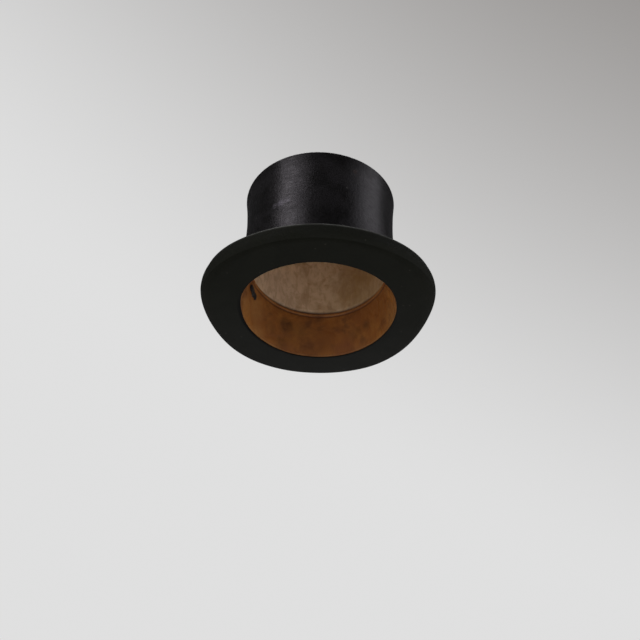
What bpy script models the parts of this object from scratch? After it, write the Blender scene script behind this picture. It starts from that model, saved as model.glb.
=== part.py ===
"""A rigid silk top hat, built up the way it is made: a stiffened cloth foundation, plush and
cloth covers, a curled and bound brim, a ribbon band, a reeded leather sweatband and a lining.

Metres, +Z up. The wearer faces -Y and has +X on the left. The origin lies under the middle of
the hat, on the surface that the front and the back of the brim stand on.
"""

import math

import bmesh
import bpy
from mathutils import Matrix, Vector

MM = 0.001

# The oval that the head enters, at the lower edge of the sweatband
HEAD_WIDTH = 166 * MM
HEAD_LENGTH = 199.5 * MM
OVAL_STATIONS = 40

# Thickness of each material, and the clearance between neighbours
CLEARANCE = 0.3 * MM
LEATHER = 1.2 * MM
LINING_SILK = 0.5 * MM
SHELL_WALL = 1.4 * MM
TIP_BOARD = 1.6 * MM
TIP_RIM_WALL = 0.8 * MM
BRIM_BOARD = 1.6 * MM
PLUSH = 0.9 * MM
UNDER_CLOTH = 0.6 * MM
BINDING_RIBBON = 0.5 * MM
JOINT_STRIP = 0.5 * MM
BAND_RIBBON = 0.6 * MM

# Crown: drawn in from the head oval at the waist, flared again towards the tip
CROWN_HEIGHT = 140 * MM
WAIST_HEIGHT = 104 * MM
WAIST_DRAW_IN = 3 * MM
TIP_FLARE = 2 * MM
TIP_EDGE_RADIUS = 2.5 * MM
TIP_RIM_DEPTH = 9 * MM
WALL_SWEEP = 1.6
WALL_STEPS = 3
EDGE_STEPS = 2

# Brim: level at the front and back, arched and curled up higher at the sides
ARCH_RISE = 4.5 * MM
LEVEL_HALF_WIDTH = 21.6 * MM
FLAT_REACH_FRONT = 36.3 * MM
FLAT_REACH_SIDE = 29.2 * MM
CURL_RADIUS_FRONT = 8 * MM
CURL_RADIUS_SIDE = 12.4 * MM
CURL_TURN_FRONT = math.radians(87)
CURL_TURN_SIDE = math.radians(125)
LIP_FRONT = 7.3 * MM
LIP_SIDE = 2 * MM
BINDING_DEPTH = 14 * MM
BINDING_STEPS = 3
CURL_STEPS = 2

# Strip that joins the crown to the brim, and the ribbon band that hides the join
STRIP_HEIGHT = 12 * MM
STRIP_FOOT = 10 * MM
STRIP_FADE = 6 * MM
BAND_HEIGHT = 20 * MM
BAND_BOW_REACH = 24 * MM
BAND_BOW_THICKNESS = 2.4 * MM
BAND_KNOT_WIDTH = 9 * MM
BAND_KNOT_THICKNESS = 3.4 * MM
BAND_BOW_SEAT = 0.9 * MM
BAND_BOW_ANGLE = math.radians(90)

# Sweatband, the reed sewn behind its lower edge, and the small bow on its join
SWEATBAND_HEIGHT = 54 * MM
SWEATBAND_STEPS = 3
SWEATBAND_GAP_SIDE = 3.2 * MM
SWEATBAND_GAP_END = 0.4 * MM
HEM_HEIGHT = 4 * MM
HEM_SWELL = 0.6 * MM
REED_DIAMETER = 1 * MM
REED_CASING = 0.3 * MM
REED_SIDES = 5
CASING_MOUTH = math.radians(90)
CASING_STEPS = 3
JOIN_BOW_ANGLE = math.radians(-108.7)
JOIN_BOW_HEIGHT = 41 * MM
JOIN_BOW_TILT = math.radians(14)
JOIN_BOW_REACH = 9.5 * MM
JOIN_BOW_END = 7 * MM
JOIN_BOW_THICKNESS = 1.2 * MM
JOIN_KNOT_WIDTH = 3.6 * MM
JOIN_KNOT_HEIGHT = 5 * MM
JOIN_KNOT_THICKNESS = 1.8 * MM
JOIN_BOW_SEAT = 1 * MM

# Lining
LINING_HEM = 12 * MM
LINING_STEP = 3 * MM

# Shares of a ribbon loop's height at the knot, of its length where its end begins to round off,
# and of its thickness that is rounded; and of the brim's thickness where the binding turns over it
BOW_PINCH = 0.55
BOW_SHOULDER = 0.88
BOW_ROUNDING = 0.25
FOLD_SHOULDER = 0.25
SHARP_ANGLE = math.radians(40)
WELD = 0.001 * MM

# Heights and offsets that follow from the sizes above. An offset is measured outwards from the
# head oval, and a height from the resting surface at the front of the hat.
CASING_DIAMETER = REED_DIAMETER + 2 * (CLEARANCE + REED_CASING)
BOARD_UNDERSIDE = UNDER_CLOTH + CLEARANCE
BOARD_TOP = BOARD_UNDERSIDE + BRIM_BOARD
STRIP_UNDERSIDE = BOARD_TOP + CLEARANCE
STRIP_TOP = STRIP_UNDERSIDE + STRIP_HEIGHT
BRIM_PLUSH_STEP = JOINT_STRIP + CLEARANCE
BRIM_PLUSH_TOP = STRIP_UNDERSIDE + BRIM_PLUSH_STEP + PLUSH
CROWN_PLUSH_FOOT = BRIM_PLUSH_TOP + CLEARANCE
BAND_FOOT = CROWN_PLUSH_FOOT + CLEARANCE
BOARD_EDGE = LEATHER + CASING_DIAMETER + 2 * CLEARANCE
CROWN_BASE = BOARD_EDGE + SHELL_WALL + CLEARANCE + PLUSH
TIP_EDGE_HEIGHT = CROWN_HEIGHT - TIP_EDGE_RADIUS
TIP_BOARD_TOP = CROWN_HEIGHT - PLUSH - CLEARANCE
TIP_BOARD_UNDERSIDE = TIP_BOARD_TOP - TIP_BOARD
TIP_RIM_FOOT = TIP_BOARD_UNDERSIDE - TIP_RIM_DEPTH
TIP_LINING_TOP = TIP_BOARD_UNDERSIDE - CLEARANCE
TIP_LINING_UNDERSIDE = TIP_LINING_TOP - LINING_SILK


def clear_scene():
    for obj in list(bpy.data.objects):
        bpy.data.objects.remove(obj, do_unlink=True)


def finish(name, colour, roughness):
    """A non-metallic cloth, leather or board finish."""
    material = bpy.data.materials.new(name)
    material.use_nodes = True
    shader = material.node_tree.nodes["Principled BSDF"]
    shader.inputs["Base Color"].default_value = (*colour, 1)
    shader.inputs["Roughness"].default_value = roughness
    shader.inputs["Metallic"].default_value = 0
    return material


def group(name, parent=None):
    empty = bpy.data.objects.new(name, None)
    bpy.context.collection.objects.link(empty)
    empty.parent = parent
    return empty


def place(name, bm, material, parent, matrix=Matrix.Identity(4)):
    """Turns a finished bmesh into a named object under its group."""
    bmesh.ops.recalc_face_normals(bm, faces=bm.faces)
    bmesh.ops.triangulate(bm, faces=bm.faces, quad_method="SHORT_EDGE")
    mesh = bpy.data.meshes.new(name)
    bm.to_mesh(mesh)
    bm.free()
    mesh.shade_smooth()
    mesh.set_sharp_from_angle(angle=SHARP_ANGLE)
    mesh.materials.append(material)
    obj = bpy.data.objects.new(name, mesh)
    bpy.context.collection.objects.link(obj)
    obj.parent = parent
    obj.matrix_local = matrix
    return obj


def oval(angle, offset):
    """Point on the head oval moved outwards; angle 0 is the front, a quarter turn the left."""
    half_width, half_length = HEAD_WIDTH / 2, HEAD_LENGTH / 2
    point = Vector((half_width * math.sin(angle), -half_length * math.cos(angle)))
    outward = Vector((half_length * math.sin(angle), -half_width * math.cos(angle)))
    return point + outward.normalized() * offset


def side_share(angle):
    """0 along the level front and back, rising to 1 at the sides."""
    level = LEVEL_HALF_WIDTH / (HEAD_WIDTH / 2)
    return max(0, (abs(math.sin(angle)) - level) / (1 - level)) ** 2


def between(front, side, angle):
    return front + (side - front) * side_share(angle)


def wall_point(angle, offset, height):
    """Point on an upright layer. The arch of the brim fades out towards the level tip."""
    rise = ARCH_RISE * side_share(angle) * (1 - (height / CROWN_HEIGHT) ** 2)
    return oval(angle, offset).to_3d() + Vector((0, 0, height + rise))


def brim_point(angle, distance, layer):
    """Point of the brim's section, at a distance along its underside and a layer's depth above it."""
    reach = between(FLAT_REACH_FRONT, FLAT_REACH_SIDE, angle)
    radius = between(CURL_RADIUS_FRONT, CURL_RADIUS_SIDE, angle)
    turn = min(max(0, distance - reach) / radius, between(CURL_TURN_FRONT, CURL_TURN_SIDE, angle))
    lip = max(0, distance - reach - radius * turn)
    out = min(distance, reach) + radius * math.sin(turn) + lip * math.cos(turn) - layer * math.sin(turn)
    up = radius * (1 - math.cos(turn)) + lip * math.sin(turn) + layer * math.cos(turn)
    return oval(angle, out).to_3d() + Vector((0, 0, ARCH_RISE * side_share(angle) + up))


def brim_length(angle):
    """Length of the brim's section from the head oval to its bare edge."""
    curl = between(CURL_RADIUS_FRONT, CURL_RADIUS_SIDE, angle) * between(
        CURL_TURN_FRONT, CURL_TURN_SIDE, angle)
    return between(FLAT_REACH_FRONT, FLAT_REACH_SIDE, angle) + curl + between(LIP_FRONT, LIP_SIDE, angle)


def angles():
    return [2 * math.pi * k / OVAL_STATIONS for k in range(OVAL_STATIONS)]


def wall_loop(offset, height):
    """Closed loop round an upright layer; the offset is a length or a function of the angle."""
    reach = offset if callable(offset) else lambda angle: offset
    return [wall_point(angle, reach(angle), height) for angle in angles()]


def brim_loop(distance, layer):
    return [brim_point(angle, distance(angle), layer) for angle in angles()]


def crown_face(height):
    """Offset of the plush face of the crown, before the joint strip swells it."""
    if height < WAIST_HEIGHT:
        share = (WAIST_HEIGHT - height) / (WAIST_HEIGHT - BOARD_TOP)
        return -WAIST_DRAW_IN + (CROWN_BASE + WAIST_DRAW_IN) * share**WALL_SWEEP
    share = (height - WAIST_HEIGHT) / (CROWN_HEIGHT - WAIST_HEIGHT)
    return -WAIST_DRAW_IN + TIP_FLARE * share**2


def plush_face(height):
    """The crown's plush face, swollen where it passes over the joint strip."""
    fade = min(max((STRIP_TOP + STRIP_FADE - height) / STRIP_FADE, 0), 1)
    return crown_face(height) + (JOINT_STRIP + CLEARANCE) * fade


def shell_face(height):
    return crown_face(height) - PLUSH - CLEARANCE


def shell_inside(height):
    return shell_face(height) - SHELL_WALL


def lining_back(height):
    """The lining's hidden face, which steps in under the rim of the tip board."""
    step = min(max((height - TIP_RIM_FOOT + CLEARANCE) / LINING_STEP + 1, 0), 1)
    return shell_inside(height) - CLEARANCE - (TIP_RIM_WALL + CLEARANCE) * step


def sweatband_back(height, angle):
    """The leather's hidden face: beside the reed at its foot, a little off the lining at its top."""
    foot_gap = lining_back(CLEARANCE) - LINING_SILK - CLEARANCE - LEATHER
    top_gap = SWEATBAND_GAP_END + (SWEATBAND_GAP_SIDE - SWEATBAND_GAP_END) * math.sin(angle) ** 2
    share = (height - CLEARANCE) / (SWEATBAND_HEIGHT - CLEARANCE)
    gap = foot_gap * (1 - share) ** 2 + top_gap * share**2
    return lining_back(height) - LINING_SILK - CLEARANCE - gap


def wall_levels(low, high, *more):
    """Heights at which an upright layer has a loop: its ends, and what lies between them."""
    common = [WAIST_HEIGHT * k / WALL_STEPS for k in range(1, WALL_STEPS + 1)]
    inner = common + [(WAIST_HEIGHT + CROWN_HEIGHT) / 2, *more]
    return [low] + sorted(h for h in inner if low + CLEARANCE < h < high - CLEARANCE) + [high]


def wall_section(levels, face, back):
    """Section of an upright layer: up its face and down its back."""
    return [(face(h), h) for h in levels] + [(back(h), h) for h in reversed(levels)]


def curl_distances():
    """Distances along the brim's section from the end of its flat to its edge, as functions."""
    def flat_end(angle):
        return between(FLAT_REACH_FRONT, FLAT_REACH_SIDE, angle)

    def binding_edge(angle):
        return brim_length(angle) - BINDING_DEPTH

    def on_curl(share):
        return lambda angle: flat_end(angle) + (binding_edge(angle) - flat_end(angle)) * share

    def on_binding(share):
        return lambda angle: binding_edge(angle) + BINDING_DEPTH * share

    curl = [on_curl(k / CURL_STEPS) for k in range(CURL_STEPS)]
    return curl, [on_binding(k / BINDING_STEPS) for k in range(BINDING_STEPS + 1)]


def first_loop(bm, points):
    verts = [bm.verts.new(point) for point in points]
    for k, vert in enumerate(verts):
        bm.edges.new((verts[k - 1], vert))
    return verts


def loop_edges(bm, verts):
    return [bm.edges.get((verts[k - 1], vert)) for k, vert in enumerate(verts)]


def grow(bm, verts, points):
    """Extrudes a closed loop of vertices to the points of the next loop."""
    made = bmesh.ops.extrude_edge_only(bm, edges=loop_edges(bm, verts))["geom"]
    fresh = {part for part in made if isinstance(part, bmesh.types.BMVert)}
    links = [[edge.other_vert(vert) for edge in vert.link_edges] for vert in verts]
    following = [next(other for other in others if other in fresh) for others in links]
    for vert, point in zip(following, points):
        vert.co = point
    return following


def ring_solid(name, loops, material, parent):
    """Closed ring whose section runs through the loops in order and back to the first."""
    bm = bmesh.new()
    start = verts = first_loop(bm, loops[0])
    for loop in loops[1:] + loops[:1]:
        verts = grow(bm, verts, loop)
    bmesh.ops.remove_doubles(bm, verts=start + verts, dist=WELD)
    return place(name, bm, material, parent)


def lid_solid(name, loops, material, parent):
    """Disc or lid: loops extruded in order, with a flat face over the first and over the last."""
    bm = bmesh.new()
    start = verts = first_loop(bm, loops[0])
    for loop in loops[1:]:
        verts = grow(bm, verts, loop)
    for ends in (start, verts):
        bmesh.ops.contextual_create(bm, geom=loop_edges(bm, ends))
    return place(name, bm, material, parent)


def wall_ring(name, section, material, parent):
    return ring_solid(name, [wall_loop(offset, height) for offset, height in section], material, parent)


def make_side_shell(material, parent):
    levels = wall_levels(STRIP_UNDERSIDE, TIP_BOARD_UNDERSIDE - CLEARANCE)
    return wall_ring("crown_side_shell", wall_section(levels, shell_face, shell_inside), material, parent)


def make_tip_shell(material, parent):
    """Board over the top of the wall, with a rim turned down inside it."""
    edge = shell_face(TIP_EDGE_HEIGHT)
    chamfer = min(TIP_EDGE_RADIUS - PLUSH - CLEARANCE, TIP_BOARD / 2)
    rim_top = shell_inside(TIP_BOARD_UNDERSIDE) - CLEARANCE
    rim_foot = shell_inside(TIP_RIM_FOOT) - CLEARANCE
    section = [
        (rim_top - TIP_RIM_WALL, TIP_BOARD_UNDERSIDE),
        (rim_foot - TIP_RIM_WALL, TIP_RIM_FOOT),
        (rim_foot, TIP_RIM_FOOT),
        (rim_top, TIP_BOARD_UNDERSIDE),
        (edge, TIP_BOARD_UNDERSIDE),
        (edge, TIP_BOARD_TOP - chamfer),
        (edge - chamfer, TIP_BOARD_TOP),
    ]
    return lid_solid("crown_tip_shell", [wall_loop(*point) for point in section], material, parent)


def make_brim_shell(material, parent):
    """Laminated brim board, from the head opening to the bare edge inside the binding."""
    return brim_layer("brim_shell", [lambda angle: BOARD_EDGE], BOARD_UNDERSIDE, BRIM_BOARD, material, parent)


def brim_layer(name, inner_distances, layer, thickness, material, parent):
    curl, bound = curl_distances()
    distances = inner_distances + curl + bound
    under = [brim_loop(distance, layer) for distance in distances]
    over = [brim_loop(distance, layer + thickness) for distance in reversed(distances)]
    return ring_solid(name, under + over, material, parent)


def make_joint_strip(material, parent):
    """Angled strip glued to the outside of the wall and to the top of the brim board."""
    foot = shell_face(STRIP_UNDERSIDE) + CLEARANCE
    top = shell_face(STRIP_TOP) + CLEARANCE
    tread = STRIP_UNDERSIDE + JOINT_STRIP
    section = [
        (top, STRIP_TOP),
        (foot, STRIP_UNDERSIDE),
        (foot + STRIP_FOOT, STRIP_UNDERSIDE),
        (foot + STRIP_FOOT, tread),
        (foot + JOINT_STRIP, tread),
        (top + JOINT_STRIP, STRIP_TOP),
    ]
    return wall_ring("joint_strip", section, material, parent)


def make_side_plush(material, parent):
    levels = wall_levels(CROWN_PLUSH_FOOT, TIP_EDGE_HEIGHT - CLEARANCE, STRIP_TOP, STRIP_TOP + STRIP_FADE)
    section = wall_section(levels, plush_face, lambda height: plush_face(height) - PLUSH)
    return wall_ring("crown_side_plush", section, material, parent)


def make_tip_plush(material, parent):
    """Disc of plush whose rounded rim turns down over the edge of the tip board."""
    face = crown_face(TIP_EDGE_HEIGHT)

    def edge_arc(radius):
        turns = [math.pi / 2 * k / EDGE_STEPS for k in range(EDGE_STEPS + 1)]
        centre = face - TIP_EDGE_RADIUS
        return [(centre + radius * math.cos(t), TIP_EDGE_HEIGHT + radius * math.sin(t)) for t in turns]

    section = edge_arc(TIP_EDGE_RADIUS - PLUSH)[::-1] + edge_arc(TIP_EDGE_RADIUS)
    return lid_solid("crown_tip_plush", [wall_loop(*point) for point in section], material, parent)


def make_brim_plush(material, parent):
    """Plush on the top of the brim: over the foot of the joint strip, then down to the board."""
    strip_face = shell_face(STRIP_UNDERSIDE) + CLEARANCE + JOINT_STRIP + CLEARANCE
    foot_end = shell_face(STRIP_UNDERSIDE) + 2 * CLEARANCE + STRIP_FOOT
    step_end = foot_end + BRIM_PLUSH_STEP
    curl, bound = curl_distances()
    layer = BOARD_TOP + CLEARANCE
    stations = [(lambda angle: strip_face, BRIM_PLUSH_STEP), (lambda angle: foot_end, BRIM_PLUSH_STEP)]
    stations += [(lambda angle: step_end, 0)] + [(distance, 0) for distance in curl + bound]
    under = [brim_loop(distance, layer + step) for distance, step in stations]
    over = [brim_loop(distance, layer + step + PLUSH) for distance, step in reversed(stations)]
    return ring_solid("brim_top_plush", under + over, material, parent)


def make_under_brim_cloth(material, parent):
    inner_edge = LEATHER + CLEARANCE
    return brim_layer("under_brim_cloth", [lambda angle: inner_edge], 0, UNDER_CLOTH, material, parent)


def make_binding(material, parent):
    """Ribbon folded over the brim's edge, down its outside and its inside."""
    bound = curl_distances()[1]
    brim_top = BOARD_TOP + CLEARANCE + PLUSH
    outside = [brim_loop(distance, -CLEARANCE - BINDING_RIBBON) for distance in bound]
    inside = [brim_loop(distance, brim_top + CLEARANCE + BINDING_RIBBON) for distance in bound]
    outer_back = [brim_loop(distance, -CLEARANCE) for distance in bound]
    inner_back = [brim_loop(distance, brim_top + CLEARANCE) for distance in bound]

    def past_edge(more, layer):
        return brim_loop(lambda angle: brim_length(angle) + more, layer)

    fold = CLEARANCE + BINDING_RIBBON
    low, high = brim_top * FOLD_SHOULDER, brim_top * (1 - FOLD_SHOULDER)
    outside.append(past_edge(fold, low))
    inside.append(past_edge(fold, high))
    outer_back.append(past_edge(CLEARANCE, low))
    inner_back.append(past_edge(CLEARANCE, high))
    loops = outside + inside[::-1] + inner_back + outer_back[::-1]
    return ring_solid("brim_binding", loops, material, parent)


def band_back(height):
    return plush_face(height) + CLEARANCE


def band_face(height):
    return band_back(height) + BAND_RIBBON


def make_hat_band(material, parent):
    levels = wall_levels(BAND_FOOT, BAND_FOOT + BAND_HEIGHT, STRIP_TOP, STRIP_TOP + STRIP_FADE)
    return wall_ring("hat_band", wall_section(levels, band_face, band_back), material, parent)


def wall_frame(angle, height, span, face):
    """Place on an upright face, on the chord over a span of height: X outwards, Y along the oval
    towards the left and back, Z up the chord."""
    low, high = height - span / 2, height + span / 2
    foot, head = wall_point(angle, face(low), low), wall_point(angle, face(high), high)
    turn = CLEARANCE / HEAD_LENGTH
    along = oval(angle + turn, face(height)) - oval(angle - turn, face(height))
    outward = along.to_3d().cross(head - foot).normalized()
    up = outward.cross(along.to_3d().normalized())
    axes = Matrix((outward, along.to_3d().normalized(), up)).transposed()
    return Matrix.Translation((foot + head) / 2) @ axes.to_4x4()


def make_bow_half(name, start, reach, height, seat, thickness, frame, material, parent):
    """Flat ribbon loop, pinched at the knot. A negative reach runs the other way, a negative seat inwards."""
    pinch = height * BOW_PINCH
    tip = start + (reach - start) * BOW_SHOULDER
    outline = [(start, -pinch / 2), (tip, -height / 2), (reach, 0), (tip, height / 2), (start, pinch / 2)]
    bm = bmesh.new()
    face = bm.faces.new([bm.verts.new((seat, along, up)) for along, up in outline])
    grown = bmesh.ops.extrude_face_region(bm, geom=[face])["geom"]
    moved = [part for part in grown if isinstance(part, bmesh.types.BMVert)]
    bmesh.ops.translate(bm, verts=moved, vec=(math.copysign(thickness, seat), 0, 0))
    front = [edge for edge in bm.edges if all(vert in moved for vert in edge.verts)]
    bmesh.ops.bevel(bm, geom=front, offset=thickness * BOW_ROUNDING, segments=2, profile=0.5, affect="EDGES")
    return place(name, bm, material, parent, frame)


def make_knot(name, width, height, seat, thickness, frame, material, parent):
    """Ribbon wrapped over the middle of a bow."""
    bm = bmesh.new()
    bmesh.ops.create_cube(bm, size=1)
    bmesh.ops.scale(bm, vec=(thickness, width, height), verts=bm.verts)
    bmesh.ops.translate(bm, vec=(seat + math.copysign(thickness / 2, seat), 0, 0), verts=bm.verts)
    bmesh.ops.bevel(
        bm, geom=bm.edges[:], offset=thickness * BOW_ROUNDING, segments=2, profile=0.5, affect="EDGES")
    return place(name, bm, material, parent, frame)


def make_band_bow(material, parent):
    """Flat bow on the wearer's left, over the join of the ribbon band."""
    height = BAND_FOOT + BAND_HEIGHT / 2
    half_knot = BAND_KNOT_WIDTH / 2 + CLEARANCE
    middle = (half_knot + BAND_BOW_REACH) / 2
    centre = wall_frame(BAND_BOW_ANGLE, height, BAND_HEIGHT, band_face)
    make_knot("hat_band_knot", BAND_KNOT_WIDTH, BAND_HEIGHT, BAND_BOW_SEAT, BAND_KNOT_THICKNESS,
              centre, material, parent)
    for name, way in (("hat_band_bow_front", -1), ("hat_band_bow_back", 1)):
        angle = BAND_BOW_ANGLE + way * middle / (HEAD_LENGTH / 2)
        frame = wall_frame(angle, height, BAND_HEIGHT, band_face)
        start, reach = way * (half_knot - middle), way * (BAND_BOW_REACH - middle)
        make_bow_half(name, start, reach, BAND_HEIGHT, BAND_BOW_SEAT, BAND_BOW_THICKNESS,
                      frame, material, parent)


def make_sweatband(material, parent):
    """Leather band with a folded hem along its top edge."""
    hem = SWEATBAND_HEIGHT - HEM_HEIGHT
    body = [CLEARANCE + (hem - CLEARANCE) * k / SWEATBAND_STEPS for k in range(SWEATBAND_STEPS + 1)]

    def loop(height, depth):
        return wall_loop(lambda angle: sweatband_back(height, angle) - depth, height)

    thick = LEATHER + HEM_SWELL
    loops = [loop(height, LEATHER) for height in body]
    loops += [loop(hem + HEM_SWELL, thick), loop(SWEATBAND_HEIGHT - HEM_SWELL, thick)]
    loops += [loop(SWEATBAND_HEIGHT, LEATHER), loop(SWEATBAND_HEIGHT, 0)]
    loops += [loop(height, 0) for height in reversed(body)]
    return ring_solid("sweatband", loops, material, parent)


def reed_circle(radius, turns):
    """Section points round the reed, which lies behind the lower edge of the leather."""
    centre = LEATHER + CLEARANCE + CASING_DIAMETER / 2
    height = BOARD_UNDERSIDE + CASING_DIAMETER / 2
    return [(centre + radius * math.cos(t), height + radius * math.sin(t)) for t in turns]


def make_reed(material, parent):
    turns = [2 * math.pi * k / REED_SIDES for k in range(REED_SIDES)]
    return wall_ring("sweatband_reed", reed_circle(REED_DIAMETER / 2, turns), material, parent)


def make_reed_casing(material, parent):
    """Cloth tape folded round the reed, open upwards beside the seam with the leather."""
    wrap = 2 * math.pi - CASING_MOUTH
    turns = [math.pi + wrap * k / CASING_STEPS for k in range(CASING_STEPS + 1)]
    outside = reed_circle(CASING_DIAMETER / 2, turns)
    inside = reed_circle(CASING_DIAMETER / 2 - REED_CASING, turns)
    return wall_ring("reed_casing", outside + inside[::-1], material, parent)


def make_join_bow(material, parent):
    """Small ribbon bow over the join of the sweatband, on the inside."""
    half_knot = JOIN_KNOT_WIDTH / 2 + CLEARANCE

    def face(height):
        return sweatband_back(height, JOIN_BOW_ANGLE) - LEATHER

    frame = wall_frame(JOIN_BOW_ANGLE, JOIN_BOW_HEIGHT, JOIN_BOW_END, face)
    frame @= Matrix.Rotation(JOIN_BOW_TILT, 4, "X")
    make_knot("sweatband_knot", JOIN_KNOT_WIDTH, JOIN_KNOT_HEIGHT, -JOIN_BOW_SEAT, JOIN_KNOT_THICKNESS,
              frame, material, parent)
    for name, way in (("sweatband_bow_front", 1), ("sweatband_bow_back", -1)):
        make_bow_half(name, way * half_knot, way * JOIN_BOW_REACH, JOIN_BOW_END, -JOIN_BOW_SEAT,
                      JOIN_BOW_THICKNESS, frame, material, parent)


def make_side_lining(material, parent):
    levels = wall_levels(LINING_HEM, TIP_LINING_UNDERSIDE - CLEARANCE,
                         TIP_RIM_FOOT - CLEARANCE - LINING_STEP, TIP_RIM_FOOT - CLEARANCE)
    section = wall_section(levels, lining_back, lambda height: lining_back(height) - LINING_SILK)
    return wall_ring("side_lining", section, material, parent)


def make_tip_lining(material, parent):
    edge = lining_back(TIP_RIM_FOOT)
    section = [(edge, TIP_LINING_UNDERSIDE), (edge, TIP_LINING_TOP)]
    return lid_solid("tip_lining", [wall_loop(*point) for point in section], material, parent)


def main():
    clear_scene()
    plush = finish("black_silk_plush", (0.012, 0.011, 0.014), 0.35)
    cloth = finish("black_wool_cloth", (0.02, 0.019, 0.016), 0.9)
    ribbon = finish("black_grosgrain", (0.018, 0.018, 0.02), 0.5)
    goss = finish("shellacked_cloth", (0.2, 0.12, 0.05), 0.7)
    leather = finish("tan_leather", (0.3, 0.15, 0.055), 0.45)
    silk = finish("cream_silk", (0.55, 0.42, 0.31), 0.5)
    cane = finish("cane", (0.5, 0.36, 0.18), 0.6)

    hat = group("top_hat")
    foundation = group("foundation", hat)
    make_side_shell(goss, foundation)
    make_tip_shell(goss, foundation)
    make_brim_shell(goss, foundation)
    make_joint_strip(goss, foundation)

    covers = group("covers", hat)
    make_side_plush(plush, covers)
    make_tip_plush(plush, covers)
    make_brim_plush(plush, covers)
    make_under_brim_cloth(cloth, covers)
    make_binding(ribbon, covers)
    make_hat_band(ribbon, covers)
    make_band_bow(ribbon, covers)

    inside = group("inside", hat)
    make_sweatband(leather, inside)
    make_reed(cane, inside)
    make_reed_casing(cloth, inside)
    make_join_bow(ribbon, inside)
    make_side_lining(silk, inside)
    make_tip_lining(silk, inside)


main()
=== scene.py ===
"""Dresses a rigid silk top hat: brushed plush, bound brim, ribbon band and bows, worn leather
sweatband and gathered silk lining, seen from in front and below in a plain pale studio.

Metres, +Z up. The wearer faces -Y and has +X on the left. Angles round the hat start at the front
and turn towards the wearer's left. Offsets are measured outwards from the oval that the head
enters, and heights from the surface that the front and the back of the brim stand on.
"""

import logging
import math
from dataclasses import dataclass, field
from enum import Enum
from functools import partial
from typing import Callable

import bmesh
import bpy
from mathutils import Matrix, Vector, noise


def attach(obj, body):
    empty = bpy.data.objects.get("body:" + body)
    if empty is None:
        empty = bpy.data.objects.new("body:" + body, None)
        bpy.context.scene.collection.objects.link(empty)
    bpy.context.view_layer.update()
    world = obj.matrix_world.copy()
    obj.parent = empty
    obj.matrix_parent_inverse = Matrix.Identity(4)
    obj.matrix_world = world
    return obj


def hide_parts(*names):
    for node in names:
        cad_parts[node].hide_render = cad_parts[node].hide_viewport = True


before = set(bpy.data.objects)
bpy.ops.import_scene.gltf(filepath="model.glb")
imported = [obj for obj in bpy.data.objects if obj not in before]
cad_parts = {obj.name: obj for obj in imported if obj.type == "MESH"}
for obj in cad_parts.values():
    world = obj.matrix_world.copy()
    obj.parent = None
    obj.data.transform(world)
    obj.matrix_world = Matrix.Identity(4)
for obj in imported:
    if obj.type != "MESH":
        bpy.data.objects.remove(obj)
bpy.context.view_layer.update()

MM = 0.001
BODY = "root"
CUT_MAP = "cut"
# Attribute that holds wear on some pieces, and painted shade or a painted highlight on others.
WEAR_AND_PAINTED_LIGHT = "wear"
WELD = 0.002 * MM
SHARP_ANGLE = math.radians(50)
LOG = logging.getLogger("top_hat")

Loop = Callable[[float], Vector]
Place = Callable[[float, float], Vector]
Triple = tuple[float, float, float]
Colour = Triple
Socket = bpy.types.NodeSocket
Piece = bpy.types.Object
Mesh = bmesh.types.BMesh


def smooth(value: float, low: float, high: float) -> float:
    """Eases from 0 where the value is low to 1 where it is high."""
    share = min(max((value - low) / (high - low), 0.0), 1.0)
    return share * share * (3 - 2 * share)


def steps(start: float, end: float, count: int) -> list[float]:
    """Even steps from start to end, both included, with count spaces between them."""
    return [start + (end - start) * k / count for k in range(count + 1)]


def turn_between(angle: float, other: float) -> float:
    """The turn from other to angle, from minus half a turn to half a turn."""
    return (angle - other + math.pi) % math.tau - math.pi


def beside(angle: float, middle: float, spread: float) -> float:
    """1 at the middle of a stretch round the hat, fading to nothing at about twice its spread."""
    return math.exp(-((turn_between(angle, middle) / spread) ** 2))


def add_object(name: str, data: bpy.types.ID) -> Piece:
    """Adds an object to the scene.

    Args:
        name: Name of the object.
        data: Its mesh, lamp or camera.

    Returns:
        The object.
    """
    made = bpy.data.objects.new(name, data)
    bpy.context.scene.collection.objects.link(made)
    return made


@dataclass(frozen=True)
class Wave:
    """A smooth unevenness: its height, the length over which it changes, and which pattern it is."""

    height: float
    size: float
    seed: float

    def value(self, place: Vector) -> float:
        """The pattern at a place, from about -1 to 1."""
        return noise.noise(place / self.size + Vector((self.seed, 2 * self.seed, 3 * self.seed)))

    def at(self, place: Vector) -> float:
        """Height at a place, above or below the even surface."""
        return self.height * self.value(place)

    def above(self, place: Vector) -> float:
        """Height at a place, counted up from the lowest places."""
        return self.height * (0.5 + 0.5 * self.value(place))

    def crease(self, place: Vector, width: float) -> float:
        """Height of narrow wandering creases, which fade out where the pattern passes a width."""
        return self.height * (1 - smooth(abs(self.value(place)), 0, width))


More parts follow.
